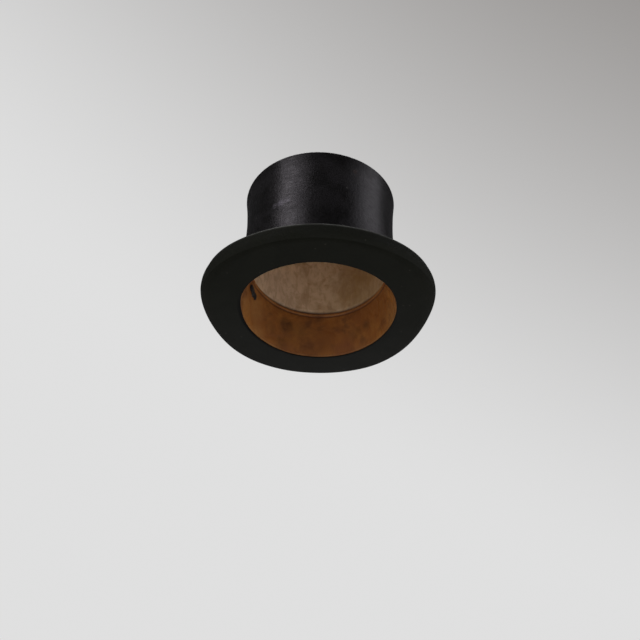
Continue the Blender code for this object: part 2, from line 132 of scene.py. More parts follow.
@dataclass(frozen=True)
class HatLines:
    """The lines that all pieces of the hat share, with the sizes that they follow from."""

    half_width: float = 83 * MM
    half_length: float = 99.75 * MM
    clearance: float = 0.3 * MM
    leather: float = 1.2 * MM
    silk: float = 0.5 * MM
    shell_wall: float = 1.4 * MM
    board: float = 1.6 * MM
    pile: float = 0.9 * MM
    under_cloth: float = 0.6 * MM
    strip: float = 0.5 * MM
    casing: float = 2.2 * MM
    crown_height: float = 140 * MM
    waist_height: float = 104 * MM
    waist_draw_in: float = 3 * MM
    tip_flare: float = 2 * MM
    tip_edge_radius: float = 2.5 * MM
    tip_rim_depth: float = 9 * MM
    tip_rim_wall: float = 0.8 * MM
    wall_sweep: float = 1.6
    arch_rise: float = 4.5 * MM
    level_half_width: float = 21.6 * MM
    reach_front: float = 36.3 * MM
    reach_side: float = 29.2 * MM
    curl_radius_front: float = 8 * MM
    curl_radius_side: float = 12.4 * MM
    curl_turn_front: float = math.radians(87)
    curl_turn_side: float = math.radians(125)
    lip_front: float = 7.3 * MM
    lip_side: float = 2 * MM
    strip_height: float = 12 * MM
    strip_foot: float = 10 * MM
    strip_fade: float = 6 * MM
    band_height: float = 20 * MM
    sweatband_height: float = 54 * MM
    sweatband_gap_side: float = 3.2 * MM
    sweatband_gap_end: float = 0.4 * MM
    lining_hem: float = 12 * MM
    lining_step: float = 3 * MM
    bead: float = 1.3 * MM
    pull_right: float = 2.2 * MM
    pull_right_angle: float = math.radians(-136)
    pull_left: float = -2.6 * MM
    pull_left_angle: float = math.radians(112)
    pull_spread: float = math.radians(21)

    @property
    def board_underside(self) -> float:
        """Height of the brim board's underside."""
        return self.under_cloth + self.clearance

    @property
    def board_top(self) -> float:
        """Height of the brim board's top."""
        return self.board_underside + self.board

    @property
    def strip_underside(self) -> float:
        """Height of the strip that joins the crown to the brim."""
        return self.board_top + self.clearance

    @property
    def strip_top(self) -> float:
        """Height of the top edge of that strip."""
        return self.strip_underside + self.strip_height

    @property
    def brim_top(self) -> float:
        """Depth of the brim from its underside to the face of its plush."""
        return self.board_top + self.clearance + self.pile

    @property
    def plush_foot(self) -> float:
        """Height at which the crown's plush starts."""
        return self.brim_top + self.strip + 2 * self.clearance

    @property
    def band_foot(self) -> float:
        """Height at which the ribbon band starts."""
        return self.plush_foot + self.clearance

    @property
    def board_edge(self) -> float:
        """Offset of the brim board's inner edge."""
        return self.leather + self.casing + 2 * self.clearance

    @property
    def crown_base(self) -> float:
        """Offset of the crown's face at the brim."""
        return self.board_edge + self.shell_wall + self.clearance + self.pile

    @property
    def tip_edge_height(self) -> float:
        """Height at which the crown's side turns into the tip."""
        return self.crown_height - self.tip_edge_radius

    @property
    def tip_board_underside(self) -> float:
        """Height of the underside of the tip's board."""
        return self.crown_height - self.pile - self.clearance - self.board

    @property
    def tip_rim_foot(self) -> float:
        """Height of the lower edge of the tip board's rim."""
        return self.tip_board_underside - self.tip_rim_depth

    @property
    def tip_lining_underside(self) -> float:
        """Height of the lining under the tip."""
        return self.tip_board_underside - self.clearance - self.silk

    def oval(self, angle: float, offset: float) -> Vector:
        """Finds a point on the head oval moved outwards.

        Args:
            angle: Angle round the hat.
            offset: Distance outwards from the oval.

        Returns:
            The point, at height 0.
        """
        sine, cosine = math.sin(angle), math.cos(angle)
        across, along = self.half_length * sine, -self.half_width * cosine
        share = offset / math.hypot(across, along)
        x, y = self.half_width * sine + share * across, -self.half_length * cosine + share * along
        return Vector((x, y, 0))

    def side_share(self, angle: float) -> float:
        """0 along the level front and back, rising to 1 at the sides."""
        level = self.level_half_width / self.half_width
        return max(0.0, (abs(math.sin(angle)) - level) / (1 - level)) ** 2

    def between(self, front: float, side: float, angle: float) -> float:
        """A size at an angle, from one at the front and back to another at the sides."""
        return front + (side - front) * self.side_share(angle)

    def wall_point(self, angle: float, offset: float, height: float) -> Vector:
        """A point of an upright layer; the brim's arch fades out towards the level tip."""
        rise = self.arch_rise * self.side_share(angle) * (1 - (height / self.crown_height) ** 2)
        return self.oval(angle, offset) + Vector((0, 0, height + rise))

    def brim_point(self, angle: float, distance: float, layer: float) -> Vector:
        """Finds a point of the brim's section.

        Args:
            angle: Angle round the hat.
            distance: Distance along the brim's underside from the head oval.
            layer: Depth above the underside, square to it.

        Returns:
            The point.
        """
        reach = self.flat_reach(angle)
        radius = self.between(self.curl_radius_front, self.curl_radius_side, angle)
        full_turn = self.between(self.curl_turn_front, self.curl_turn_side, angle)
        turn = min(max(0.0, distance - reach) / radius, full_turn)
        lip = max(0.0, distance - reach - radius * turn)
        sine, cosine = math.sin(turn), math.cos(turn)
        out = min(distance, reach) + radius * sine + lip * cosine - layer * sine
        up = radius * (1 - cosine) + lip * sine + layer * cosine
        return self.oval(angle, out) + Vector((0, 0, self.arch_rise * self.side_share(angle) + up))

    def flat_reach(self, angle: float) -> float:
        """Width of the brim's flat part, which wear has pulled out of true towards the back.

        Args:
            angle: Angle round the hat.

        Returns:
            The width.
        """
        reach = self.between(self.reach_front, self.reach_side, angle)
        reach += self.pull_right * beside(angle, self.pull_right_angle, self.pull_spread)
        return reach + self.pull_left * beside(angle, self.pull_left_angle, self.pull_spread)

    def brim_length(self, angle: float) -> float:
        """Length of the brim's section from the head oval to its bare edge.

        Args:
            angle: Angle round the hat.

        Returns:
            The length.
        """
        radius = self.between(self.curl_radius_front, self.curl_radius_side, angle)
        turn = self.between(self.curl_turn_front, self.curl_turn_side, angle)
        return self.flat_reach(angle) + radius * turn + self.between(self.lip_front, self.lip_side, angle)

    def crown_face(self, height: float) -> float:
        """Offset of the crown's plush face, before the joint strip swells it.

        Args:
            height: Height at the front of the hat.

        Returns:
            The offset.
        """
        if height < self.waist_height:
            share = (self.waist_height - height) / (self.waist_height - self.board_top)
            return -self.waist_draw_in + (self.crown_base + self.waist_draw_in) * share**self.wall_sweep
        share = (height - self.waist_height) / (self.crown_height - self.waist_height)
        return -self.waist_draw_in + self.tip_flare * share**2

    def plush_face(self, height: float) -> float:
        """Offset of the crown's plush face, swollen over the joint strip."""
        fade = 1 - smooth(height, self.strip_top, self.strip_top + self.strip_fade)
        return self.crown_face(height) + (self.strip + self.clearance) * fade

    def shell_face(self, height: float) -> float:
        """Offset of the outside of the stiffened wall."""
        return self.crown_face(height) - self.pile - self.clearance

    def lining_back(self, height: float) -> float:
        """Offset of the lining's hidden face, which steps in under the rim of the tip board.

        Args:
            height: Height at the front of the hat.

        Returns:
            The offset.
        """
        top = self.tip_rim_foot - self.clearance
        wall = self.shell_face(height) - self.shell_wall
        step = smooth(height, top - self.lining_step, top)
        return wall - self.clearance - (self.tip_rim_wall + self.clearance) * step

    def sweatband_gap(self, angle: float) -> float:
        """Gap between the leather's upper edge and the lining."""
        wider = self.sweatband_gap_side - self.sweatband_gap_end
        return self.sweatband_gap_end + wider * math.sin(angle) ** 2

    def sweatband_back(self, angle: float, height: float) -> float:
        """Offset of the leather's hidden face.

        Args:
            angle: Angle round the hat.
            height: Height at the front of the hat.

        Returns:
            The offset: beside the reed at the foot, a little off the lining at the top.
        """
        foot_gap = self.lining_back(self.clearance) - self.silk - self.clearance - self.leather
        share = (height - self.clearance) / (self.sweatband_height - self.clearance)
        gap = foot_gap * (1 - share) ** 2 + self.sweatband_gap(angle) * share**2
        return self.lining_back(height) - self.silk - self.clearance - gap


class Graph:
    """Adds and links the nodes of one shader tree in few words."""

    def __init__(self, tree: bpy.types.NodeTree) -> None:
        """Keeps the tree that the nodes go into."""
        self.tree = tree

    def feed(self, socket: Socket, value: object) -> None:
        """Links an input to another socket, or sets its own number, vector or colour.

        Args:
            socket: Input that takes the value.
            value: Output socket, number, vector or colour.
        """
        if isinstance(value, Socket):
            self.tree.links.new(value, socket)
        else:
            socket.default_value = value

    def node(self, kind: str, inputs: dict | None = None, **settings: object) -> bpy.types.Node:
        """Adds a node.

        Args:
            kind: Blender's name of the node type.
            inputs: Values of its inputs, by name or number.
            settings: Values of its other properties.

        Returns:
            The node.
        """
        made = self.tree.nodes.new(kind)
        for name, value in settings.items():
            setattr(made, name, value)
        for name, value in (inputs or {}).items():
            self.feed(made.inputs[name], value)
        return made

    def math(self, operation: str, *values: object) -> Socket:
        """A number worked out from sockets or numbers, by Blender's name of the operation."""
        return self.node("ShaderNodeMath", dict(enumerate(values)), operation=operation).outputs[0]

    def times(self, first: object, second: object) -> Socket:
        """The product of two sockets or numbers."""
        return self.math("MULTIPLY", first, second)

    def plus(self, first: object, second: object) -> Socket:
        """The sum of two sockets or numbers."""
        return self.math("ADD", first, second)

    def line(self, value: object, slope: float, start: object) -> Socket:
        """A value times a slope, plus a start."""
        return self.math("MULTIPLY_ADD", value, slope, start)

    def vector_math(self, operation: str, *values: object) -> bpy.types.Node:
        """Adds a vector calculation on sockets or vectors and returns its node."""
        return self.node("ShaderNodeVectorMath", dict(enumerate(values)), operation=operation)

    def stretch(self, vector: object, factors: Triple) -> Socket:
        """A vector with each of its parts multiplied by a factor."""
        return self.vector_math("MULTIPLY", vector, factors).outputs[0]

    def ease(self, value: object, low: object, high: object, start: float = 0, end: float = 1) -> Socket:
        """Maps the range from low to high onto the one from start to end, eased at both ends."""
        inputs = {"Value": value, "From Min": low, "From Max": high, "To Min": start, "To Max": end}
        return self.node("ShaderNodeMapRange", inputs, interpolation_type="SMOOTHSTEP").outputs[0]

    def mix(self, share: object, first: object, second: object) -> Socket:
        """Mixes two colours or sockets, with a share of the second."""
        ends = [c if isinstance(c, Socket) else (*c, 1) for c in (first, second)]
        return self.node("ShaderNodeMix", {0: share, 6: ends[0], 7: ends[1]}, data_type="RGBA").outputs[2]

    def noise(self, vector: object, scale: object, detail: float = 2, roughness: float = 0.5,
              distortion: float = 0) -> Socket:
        """A noise pattern on coordinates, from about 0.2 to 0.8.

        Args:
            vector: Coordinates.
            scale: Patches for each unit of the coordinates.
            detail: Finer layers.
            roughness: Strength of the finer layers.
            distortion: How much the pattern is stirred.

        Returns:
            The pattern's socket, from about 0.2 to 0.8.
        """
        inputs = {"Vector": vector, "Scale": scale, "Detail": detail, "Roughness": roughness,
                  "Distortion": distortion}
        return self.node("ShaderNodeTexNoise", inputs).outputs[0]

    def split(self, vector: object) -> list[Socket]:
        """The three parts of a vector as sockets."""
        return list(self.node("ShaderNodeSeparateXYZ", {0: vector}).outputs)

    def join(self, *parts: object) -> Socket:
        """A vector made of three sockets or numbers."""
        return self.node("ShaderNodeCombineXYZ", dict(enumerate(parts))).outputs[0]


class Effects:
    """Shader node groups that several finishes share, each built once."""

    def __init__(self, lines: HatLines) -> None:
        """Keeps the hat's lines, which the nap follows."""
        self.lines = lines
        self.built: dict[str, bpy.types.NodeTree] = {}

    def begin(self, name: str, values: dict[str, float],
              outputs: tuple[str, ...]) -> tuple[Graph, dict, dict]:
        """Starts a group that takes coordinates and some numbers.

        Args:
            name: Name of the group.
            values: Its number inputs with their usual values.
            outputs: Names of its outputs.

        Returns:
            The group's graph, its input sockets and its output sockets, by name.
        """
        tree = bpy.data.node_groups.new(name, "ShaderNodeTree")
        tree.interface.new_socket("Vector", in_out="INPUT", socket_type="NodeSocketVector")
        for value_name, value in values.items():
            made = tree.interface.new_socket(value_name, in_out="INPUT", socket_type="NodeSocketFloat")
            made.default_value = value
        for output in outputs:
            tree.interface.new_socket(output, in_out="OUTPUT", socket_type="NodeSocketFloat")
        graph = Graph(tree)
        given = graph.node("NodeGroupInput").outputs
        result = graph.node("NodeGroupOutput").inputs
        self.built[name] = tree
        return graph, {s.name: s for s in given}, {s.name: s for s in result}

    def place(self, graph: Graph, name: str, vector: object, **values: float) -> dict[str, Socket]:
        """Puts a group into a material.

        Args:
            graph: The material's graph.
            name: Name of the group, which is also the method that builds it.
            vector: Coordinates that it follows.
            values: Its number inputs.

        Returns:
            Its output sockets by name.
        """
        if name not in self.built:
            getattr(self, name)()
        made = graph.node("ShaderNodeGroup", node_tree=self.built[name])
        graph.feed(made.inputs["Vector"], vector)
        for key, value in values.items():
            graph.feed(made.inputs[key.capitalize()], value)
        return {s.name: s for s in made.outputs}

    def brushed_nap(self) -> None:
        """Pile brushed round the hat: long streaks that follow the oval, hairs and shorter clumps."""
        graph, given, result = self.begin("brushed_nap", {"Length": 6, "Fineness": 900},
                                          ("Streak", "Hair", "Clump"))
        x, y, z = graph.split(given["Vector"])
        across = graph.math("DIVIDE", x, self.lines.half_width)
        along = graph.math("DIVIDE", y, self.lines.half_length)
        reach = graph.vector_math("LENGTH", graph.join(across, along, 0)).outputs["Value"]
        safe = graph.math("MAXIMUM", reach, 0.02)
        level = graph.plus(z, graph.times(reach, self.lines.half_length))
        turned = [graph.times(graph.math("DIVIDE", part, safe), given["Length"]) for part in (across, along)]
        broad = graph.join(*turned, graph.times(level, given["Fineness"]))
        fine, clumped = graph.stretch(broad, (3.1, 3.1, 2.7)), graph.stretch(broad, (4.0, 4.0, 0.55))
        graph.feed(result["Streak"], graph.noise(broad, 1, 3, 0.6))
        graph.feed(result["Hair"], graph.noise(fine, 1, 2, 0.6))
        graph.feed(result["Clump"], graph.noise(clumped, 1, 2, 0.5, 0.6))

    def mottle(self) -> None:
        """Uneven patches with soft edges."""
        graph, given, result = self.begin("mottle", {"Scale": 30, "Low": 0.4, "High": 0.65}, ("Mask",))
        pattern = graph.noise(given["Vector"], given["Scale"], 4, 0.62, 0.6)
        graph.feed(result["Mask"], graph.ease(pattern, given["Low"], given["High"]))

    def twill(self) -> None:
        """Fine woven cloth with its threads a pitch apart and slanting ribs."""
        graph, given, result = self.begin("twill", {"Pitch": 0.0007}, ("Thread", "Fuzz"))
        scaled = graph.vector_math("SCALE", given["Vector"])
        graph.feed(scaled.inputs["Scale"], graph.math("DIVIDE", math.tau, given["Pitch"]))
        x, y, z = graph.split(scaled.outputs["Vector"])
        slant = graph.math("SINE", graph.plus(graph.plus(x, y), z))
        weft = graph.math("SINE", graph.math("SUBTRACT", x, y))
        woven = graph.plus(slant, graph.times(weft, 0.5))
        graph.feed(result["Thread"], graph.line(woven, 0.3, 0.5))
        graph.feed(result["Fuzz"], graph.noise(given["Vector"], 1400, 3, 0.7))

    def ribs(self) -> None:
        """Cross ribs of a ribbon: a count of them goes once along it, with slightly uneven threads."""
        graph, given, result = self.begin("ribs", {"Count": 640}, ("Rib", "Shade"))
        u, v = graph.split(given["Vector"])[:2]
        counted = graph.times(u, given["Count"])
        wave = graph.line(graph.math("SINE", graph.times(counted, math.tau)), 0.5, 0.5)
        graph.feed(result["Rib"], graph.math("POWER", wave, 0.6))
        cell = graph.join(graph.math("FLOOR", counted), graph.times(v, 300), 0)
        graph.feed(result["Shade"], graph.noise(cell, 0.7, 1))

    def dust(self) -> None:
        """Specks of lint and dust."""
        graph, given, result = self.begin("dust", {"Scale": 420, "Share": 0.02}, ("Mask",))
        cells = graph.node("ShaderNodeTexVoronoi", {"Vector": given["Vector"], "Scale": given["Scale"]})
        chance = graph.node("ShaderNodeSeparateColor", {0: cells.outputs["Color"]}).outputs[0]
        picked = graph.math("LESS_THAN", chance, given["Share"])
        core = graph.ease(cells.outputs["Distance"], 0.1, 0.35, 1, 0)
        graph.feed(result["Mask"], graph.times(picked, core))


@dataclass(frozen=True)
class ColourSpot:
    """A spot of colour: a stain, a rubbed place or a painted highlight; its middle, its full and its whole
    radius, in millimetres.
    """

    middle: Triple
    full: float
    whole: float
    colour: Colour
    strength: float

    def mask(self, graph: Graph, place: Socket) -> Socket:
        """Marks the spot: 1 within its full radius and 0 from its whole radius on."""
        distance = graph.vector_math("DISTANCE", place, tuple(Vector(self.middle) * MM)).outputs["Value"]
        return graph.ease(distance, self.full * MM, self.whole * MM, 1, 0)


class Surface(Graph):
    """The shader tree of one material, with the patterns that the finishes lay over each other."""

    def __init__(self, material: bpy.types.Material, effects: Effects) -> None:
        """Starts on a new material, with the coordinates of the piece that wears it.

        Args:
            material: The new material.
            effects: The shared node groups.
        """
        super().__init__(material.node_tree)
        self.effects = effects
        self.shader = material.node_tree.nodes["Principled BSDF"]
        self.place = self.node("ShaderNodeTexCoord").outputs["Object"]

    def effect(self, name: str, **values: float) -> dict[str, Socket]:
        """The outputs of a shared node group that follows the piece's coordinates."""
        return self.effects.place(self, name, self.place, **values)

    def mottle(self, scale: float, low: float = 0.4, high: float = 0.65,
               shift: Triple = (0, 0, 0)) -> Socket:
        """Uneven patches; another shift of the coordinates gives other patches of the same size."""
        place = self.vector_math("ADD", self.place, shift).outputs[0]
        return self.effects.place(self, "mottle", place, scale=scale, low=low, high=high)["Mask"]

    def dusted(self, colour: Socket, scale: float, share: float, strength: float, lint: Colour) -> Socket:
        """Lays specks of lint over a colour: their fineness, their share, and how much they show."""
        specks = self.effect("dust", scale=scale, share=share)["Mask"]
        return self.mix(self.times(specks, strength), colour, lint)

    def spotted(self, colour: Socket, spots: tuple[ColourSpot, ...], ragged: Socket) -> Socket:
        """Lays spots over a colour, broken up by a pattern.

        Args:
            colour: The colour below them.
            spots: The spots.
            ragged: Pattern that breaks them up.

        Returns:
            The colour with the spots on it.
        """
        for spot in spots:
            share = self.times(self.times(spot.mask(self, self.place), ragged), spot.strength)
            colour = self.mix(share, colour, spot.colour)
        return colour

    def cut(self) -> Socket:
        """The piece's flat cut: its share of a turn, and metres across it."""
        return self.node("ShaderNodeUVMap", uv_map=CUT_MAP).outputs[0]

    def worn(self) -> Socket:
        """The piece's wear attribute: rubbing and dirt on the leather, painted shade on the brim's rolled
        edge and the lining, a painted highlight on the binding's fold.
        """
        return self.node("ShaderNodeAttribute", attribute_name=WEAR_AND_PAINTED_LIGHT).outputs["Fac"]

    def cover(self, colour: Socket, roughness: Socket, relief: Socket, depth: float, strength: float) -> None:
        """Gives the shader its patterns.

        Args:
            colour: Colour all over the piece.
            roughness: Roughness all over it.
            relief: Pattern that raises its surface.
            depth: Real depth of that pattern.
            strength: How much of it shows.
        """
        self.feed(self.shader.inputs["Base Color"], colour)
        self.feed(self.shader.inputs["Roughness"], roughness)
        bump = self.node("ShaderNodeBump", {"Height": relief, "Distance": depth, "Strength": strength})
        self.feed(self.shader.inputs["Normal"], bump.outputs[0])


@dataclass(frozen=True)
class Finish:
    """A surface finish: the record's slot it belongs to, and what all finishes set on the shader."""

    name: str
    slot: str
    roughness: float = 0.6
    specular: float = 0.5
    sheen: float = 0.0
    sheen_roughness: float = 0.4
    sheen_tint: Colour = (1, 1, 1)
    gloss_tint: Colour = (1, 1, 1)
    anisotropy: float = 0.0

    def material(self, effects: Effects) -> bpy.types.Material:
        """Makes the material, sets what is the same all over it and paints its patterns.

        Args:
            effects: The shared node groups.

        Returns:
            The material.
        """
        material = bpy.data.materials.new(self.name)
        material.use_nodes = True
        surface = Surface(material, effects)
        inputs = surface.shader.inputs
        inputs["Roughness"].default_value = self.roughness
        inputs["Specular IOR Level"].default_value = self.specular
        inputs["Sheen Weight"].default_value = self.sheen
        inputs["Sheen Roughness"].default_value = self.sheen_roughness
        inputs["Sheen Tint"].default_value = (*self.sheen_tint, 1)
        inputs["Specular Tint"].default_value = (*self.gloss_tint, 1)
        inputs["Anisotropic"].default_value = self.anisotropy
        self.paint(surface)
        return material

    def paint(self, on: Surface) -> None:
        """Lays the finish's own patterns on a surface; each kind of finish has its own way."""
        raise NotImplementedError


class Nap(Enum):
    """How the pile lies: streaks along a sixth of a turn, and streaks for each metre across."""

    ROUND = (9.0, 800.0)
    TIP = (8.0, 800.0)


@dataclass(frozen=True)
class SilkPlush(Finish):
    """Black silk pile, brushed one way, that shines across the direction of its hairs."""

    nap: Nap = Nap.ROUND
    deep: Colour = (0.0022, 0.0021, 0.0018)
    lit: Colour = (0.0075, 0.0068, 0.0078)
    rubbed: Colour = (0.035, 0.032, 0.031)
    lint: Colour = (0.06, 0.058, 0.055)
    dulled: float = 0.0
    dull_from: float = 118 * MM
    dull_to: float = 134 * MM
    hair_turn: float = 0.25
    marks_and_highlights: tuple[ColourSpot, ...] = ()

    def paint(self, on: Surface) -> None:
        """Lays on streaks, clumps and hairs, ruffled places painted lighter as a highlight, rubbed places,
        lint and a duller top.

        Args:
            on: The surface to paint.
        """
        length, fineness = self.nap.value
        nap = on.effect("brushed_nap", length=length, fineness=fineness)
        patch = on.mottle(42, 0.35, 0.7)
        streak = on.ease(nap["Streak"], 0.3, 0.72)
        colour = on.mix(on.times(streak, patch), self.deep, self.lit)
        # Painted highlight: the ruffled spots lighten the colour where disturbed nap would catch the light;
        # the singed spot is a stain.
        colour = on.spotted(colour, self.marks_and_highlights, on.ease(nap["Streak"], 0.25, 0.6))
        colour = on.mix(on.times(on.worn(), on.ease(nap["Streak"], 0.35, 0.65)), colour, self.rubbed)
        colour = on.dusted(colour, 260, 0.012, 0.5, self.lint)
        uneven = on.plus(on.times(streak, -0.16), on.times(patch, 0.1))
        hairs = on.times(on.plus(nap["Streak"], nap["Hair"]), 0.5)
        hairs = on.plus(hairs, on.times(nap["Clump"], 1.1))
        on.cover(colour, on.plus(uneven, self.roughness), hairs, 0.28 * MM, 0.75)
        if self.dulled:
            gloss = on.ease(on.split(on.place)[2], self.dull_from, self.dull_to, self.specular,
                            self.specular * (1 - self.dulled))
            on.feed(on.shader.inputs["Specular IOR Level"], gloss)
        on.shader.inputs["Anisotropic Rotation"].default_value = self.hair_turn
        tangent = on.node("ShaderNodeTangent", direction_type="UV_MAP", uv_map=CUT_MAP)
        on.feed(on.shader.inputs["Tangent"], tangent.outputs[0])


@dataclass(frozen=True)
class WoolCloth(Finish):
    """Matt black worsted, a little browned with age and paler towards the back."""

    dark: Colour = (0.0037, 0.004, 0.0022)
    faded: Colour = (0.0063, 0.0066, 0.004)
    paler_back: Colour = (0.0138, 0.0138, 0.0131)
    # Near-black painted shade for the rolled inner edge of the brim's cloth.
    edge_shade: Colour = (0.0006, 0.0006, 0.0005)
    lint: Colour = (0.07, 0.065, 0.055)
    pitch: float = 0.8 * MM
    paler_back_from: float = -90 * MM
    paler_back_to: float = 150 * MM

    def paint(self, on: Surface) -> None:
        """Lays on the weave, faded patches, lint and painted shade.

        Args:
            on: The surface to paint.
        """
        woven = on.effect("twill", pitch=self.pitch)
        patch = on.mottle(22, 0.35, 0.7)
        shade = on.times(on.ease(woven["Fuzz"], 0.3, 0.7), 0.5)
        shade = on.plus(shade, on.times(patch, 0.5))
        colour = on.mix(shade, self.dark, self.faded)
        # Paler towards the back of the hat.
        towards_back = on.ease(on.split(on.place)[1], self.paler_back_from, self.paler_back_to)
        colour = on.mix(on.times(towards_back, on.line(shade, 0.5, 0.5)), colour, self.paler_back)
        colour = on.mix(on.times(woven["Thread"], 0.25), colour, self.dark)
        colour = on.dusted(colour, 300, 0.02, 0.4, self.lint)
        # Painted shade on the rolled inner edge, where the wear attribute is set.
        colour = on.mix(on.worn(), colour, self.edge_shade)
        relief = on.plus(woven["Thread"], on.times(woven["Fuzz"], 0.8))
        on.cover(colour, on.ease(woven["Fuzz"], 0.2, 0.8, self.roughness, 1), relief, 0.15 * MM, 0.4)


@dataclass(frozen=True)
class Grosgrain(Finish):
    """Black corded silk ribbon, rubbed paler along its ribs."""

    dark: Colour = (0.0042, 0.0046, 0.0026)
    rubbed: Colour = (0.0098, 0.0103, 0.0066)
    # Pale colour painted along the binding's fold as a highlight, partly standing for rubbing.
    fold_highlight: Colour = (0.16, 0.16, 0.154)
    lint: Colour = (0.07, 0.065, 0.06)
    ribs: float = 640

    def paint(self, on: Surface) -> None:
        """Lays on the ribs, their rubbed tops, a painted highlight along the fold, and lint.

        Args:
            on: The surface to paint.
        """
        corded = on.effects.place(on, "ribs", on.cut(), count=self.ribs)
        patch = on.mottle(60, 0.35, 0.7)
        worn = on.times(corded["Rib"], on.line(patch, 0.6, 0.25))
        worn = on.times(worn, on.ease(corded["Shade"], 0.2, 0.8, 0.6, 1))
        colour = on.mix(worn, self.dark, self.rubbed)
        # Painted highlight: where the wear attribute is set, round the binding's fold, the ribbon is painted
        # pale as light caught on the edge, with some rubbing.
        colour = on.mix(on.times(on.worn(), on.line(patch, 0.5, 0.4)), colour, self.fold_highlight)
        colour = on.dusted(colour, 330, 0.015, 0.4, self.lint)
        on.cover(colour, on.line(patch, 0.15, self.roughness), corded["Rib"], 0.16 * MM, 0.5)


@dataclass(frozen=True)
class TanLeather(Finish):
    """Worn tan calf: orange-brown, mottled with darker stains, rubbed paler where it stands proud."""

    tan: Colour = (0.215, 0.072, 0.012)
    pale: Colour = (0.325, 0.127, 0.025)
    stain: Colour = (0.08, 0.025, 0.006)
    rubbed: Colour = (0.34, 0.138, 0.033)
    bared: Colour = (0.4, 0.2, 0.08)
    cracked: ColourSpot = ColourSpot((80.0, 22.0, 22.0), 8, 34, (0.06, 0.02, 0.005), 0.75)
    marks: tuple[ColourSpot, ...] = ()

    def paint(self, on: Surface) -> None:
        """Lays on mottling, dirt, wear, stains, a cracked place, pores and folds.

        Args:
            on: The surface to paint.
        """
        broad, small = on.mottle(26, 0.36, 0.64), on.mottle(95, 0.4, 0.7)
        dirt = on.mottle(34, 0.5, 0.68, (0.3, 0.1, 0.2))
        wear = on.worn()
        colour = on.mix(broad, self.tan, self.pale)
        colour = on.mix(on.times(small, 0.45), colour, self.tan)
        colour = on.mix(on.times(dirt, 0.62), colour, self.stain)
        colour = on.mix(on.times(wear, on.line(broad, 0.35, 0.3)), colour, self.rubbed)
        colour = on.mix(on.ease(wear, 0.86, 1.0, 0, 0.6), colour, self.bared)
        # Darker in the sewn line below the hem, where the wear is below 0.
        colour = on.mix(on.ease(wear, -1, 0, 0.8, 0), colour, self.stain)
        colour = on.spotted(colour, self.marks, on.line(small, 0.4, 0.6))
        cracks = on.noise(on.stretch(on.place, (1, 1, 0.14)), 330, 3, 0.6)
        colour = on.spotted(colour, (self.cracked,), on.ease(cracks, 0.56, 0.66))
        grain = on.node("ShaderNodeTexVoronoi", {"Vector": on.place, "Scale": 1100.0},
                        feature="DISTANCE_TO_EDGE")
        pores = on.ease(grain.outputs["Distance"], 0.0, 0.25)
        folds = on.noise(on.stretch(on.place, (1, 1, 0.35)), 300, 4, 0.6)
        colour = on.mix(on.times(on.math("SUBTRACT", 1, pores), 0.25), colour, self.stain)
        gloss = on.plus(on.times(broad, -0.1), on.times(dirt, 0.15))
        relief = on.plus(on.times(pores, 0.5), folds)
        on.cover(colour, on.plus(gloss, self.roughness), relief, 0.3 * MM, 0.4)


@dataclass(frozen=True)
class CreamSilk(Finish):
    """Aged cream satin with soft brown foxing."""

    cream: Colour = (0.73, 0.55, 0.37)
    dull: Colour = (0.5, 0.34, 0.205)
    foxing_and_fold_shade: Colour = (0.27, 0.155, 0.075)
    # Dark colour painted as shadow in the crack behind the leather's top edge.
    painted_shadow: Colour = (0.07, 0.033, 0.012)
    marks: tuple[ColourSpot, ...] = ()

    def paint(self, on: Surface) -> None:
        """Lays on dull and foxed patches, tone marks, threads, crumples with painted shade in their valleys,
        and painted shadow behind the leather.

        Args:
            on: The surface to paint.
        """
        broad = on.mottle(30, 0.35, 0.68)
        spots = on.mottle(75, 0.54, 0.72, (0.2, 0.5, 0.1))
        warp = on.noise(on.stretch(on.place, (1, 1, 0.03)), 1500, 2)
        weft = on.noise(on.stretch(on.place, (0.06, 0.06, 1)), 1300, 2)
        crumple = on.noise(on.stretch(on.place, (1, 1, 0.6)), 150, 3, 0.6, 0.5)
        colour = on.mix(broad, self.cream, self.dull)
        colour = on.mix(on.times(spots, 0.6), colour, self.foxing_and_fold_shade)
        colour = on.spotted(colour, self.marks, on.line(broad, 0.3, 0.7))
        colour = on.mix(on.ease(warp, 0.3, 0.7, 0, 0.3), colour, self.dull)
        # Painted shade: the valleys of the crumples, which the bump leaves low, are coloured darker with the
        # foxing colour.
        colour = on.mix(on.ease(crumple, 0.35, 0.6, 0.4, 0), colour, self.foxing_and_fold_shade)
        # Painted shadow in the crack behind the leather's top edge, where the wear attribute is set.
        colour = on.mix(on.times(on.worn(), 0.9), colour, self.painted_shadow)
        roughness = on.ease(warp, 0.25, 0.75, self.roughness - 0.06, self.roughness + 0.1)
        threads = on.line(weft, 0.6, warp)
        on.cover(colour, roughness, on.line(crumple, 6.0, threads), 0.12 * MM, 0.5)


@dataclass(frozen=True)
class Stiffener(Finish):
    """Muslin or cane stiffened with brown varnish."""

    pale: Colour = (0.24, 0.15, 0.065)
    dark: Colour = (0.13, 0.07, 0.025)
    pitch: float = 1.1 * MM

    def paint(self, on: Surface) -> None:
        """Lays on the weave under uneven varnish.

        Args:
            on: The surface to paint.
        """
        woven = on.effect("twill", pitch=self.pitch)
        colour = on.mix(on.mottle(40), self.pale, self.dark)
        colour = on.mix(on.times(woven["Thread"], 0.4), colour, self.dark)
        roughness = on.ease(woven["Fuzz"], 0.2, 0.8, self.roughness, 0.9)
        on.cover(colour, roughness, woven["Thread"], 0.2 * MM, 0.5)


@dataclass(frozen=True)
class Thread(Finish):
    """Waxed sewing thread."""

    colour: Colour = (0.06, 0.03, 0.012)
    faded: Colour = (0.14, 0.075, 0.03)

    def paint(self, on: Surface) -> None:
        """Lays on faded patches and the thread's twist.

        Args:
            on: The surface to paint.
        """
        twist = on.noise(on.stretch(on.place, (1, 1, 2)), 3500, 1)
        colour = on.mix(on.mottle(400), self.colour, self.faded)
        on.cover(colour, on.ease(twist, 0.3, 0.7, self.roughness, 0.9), twist, 0.1 * MM, 0.4)
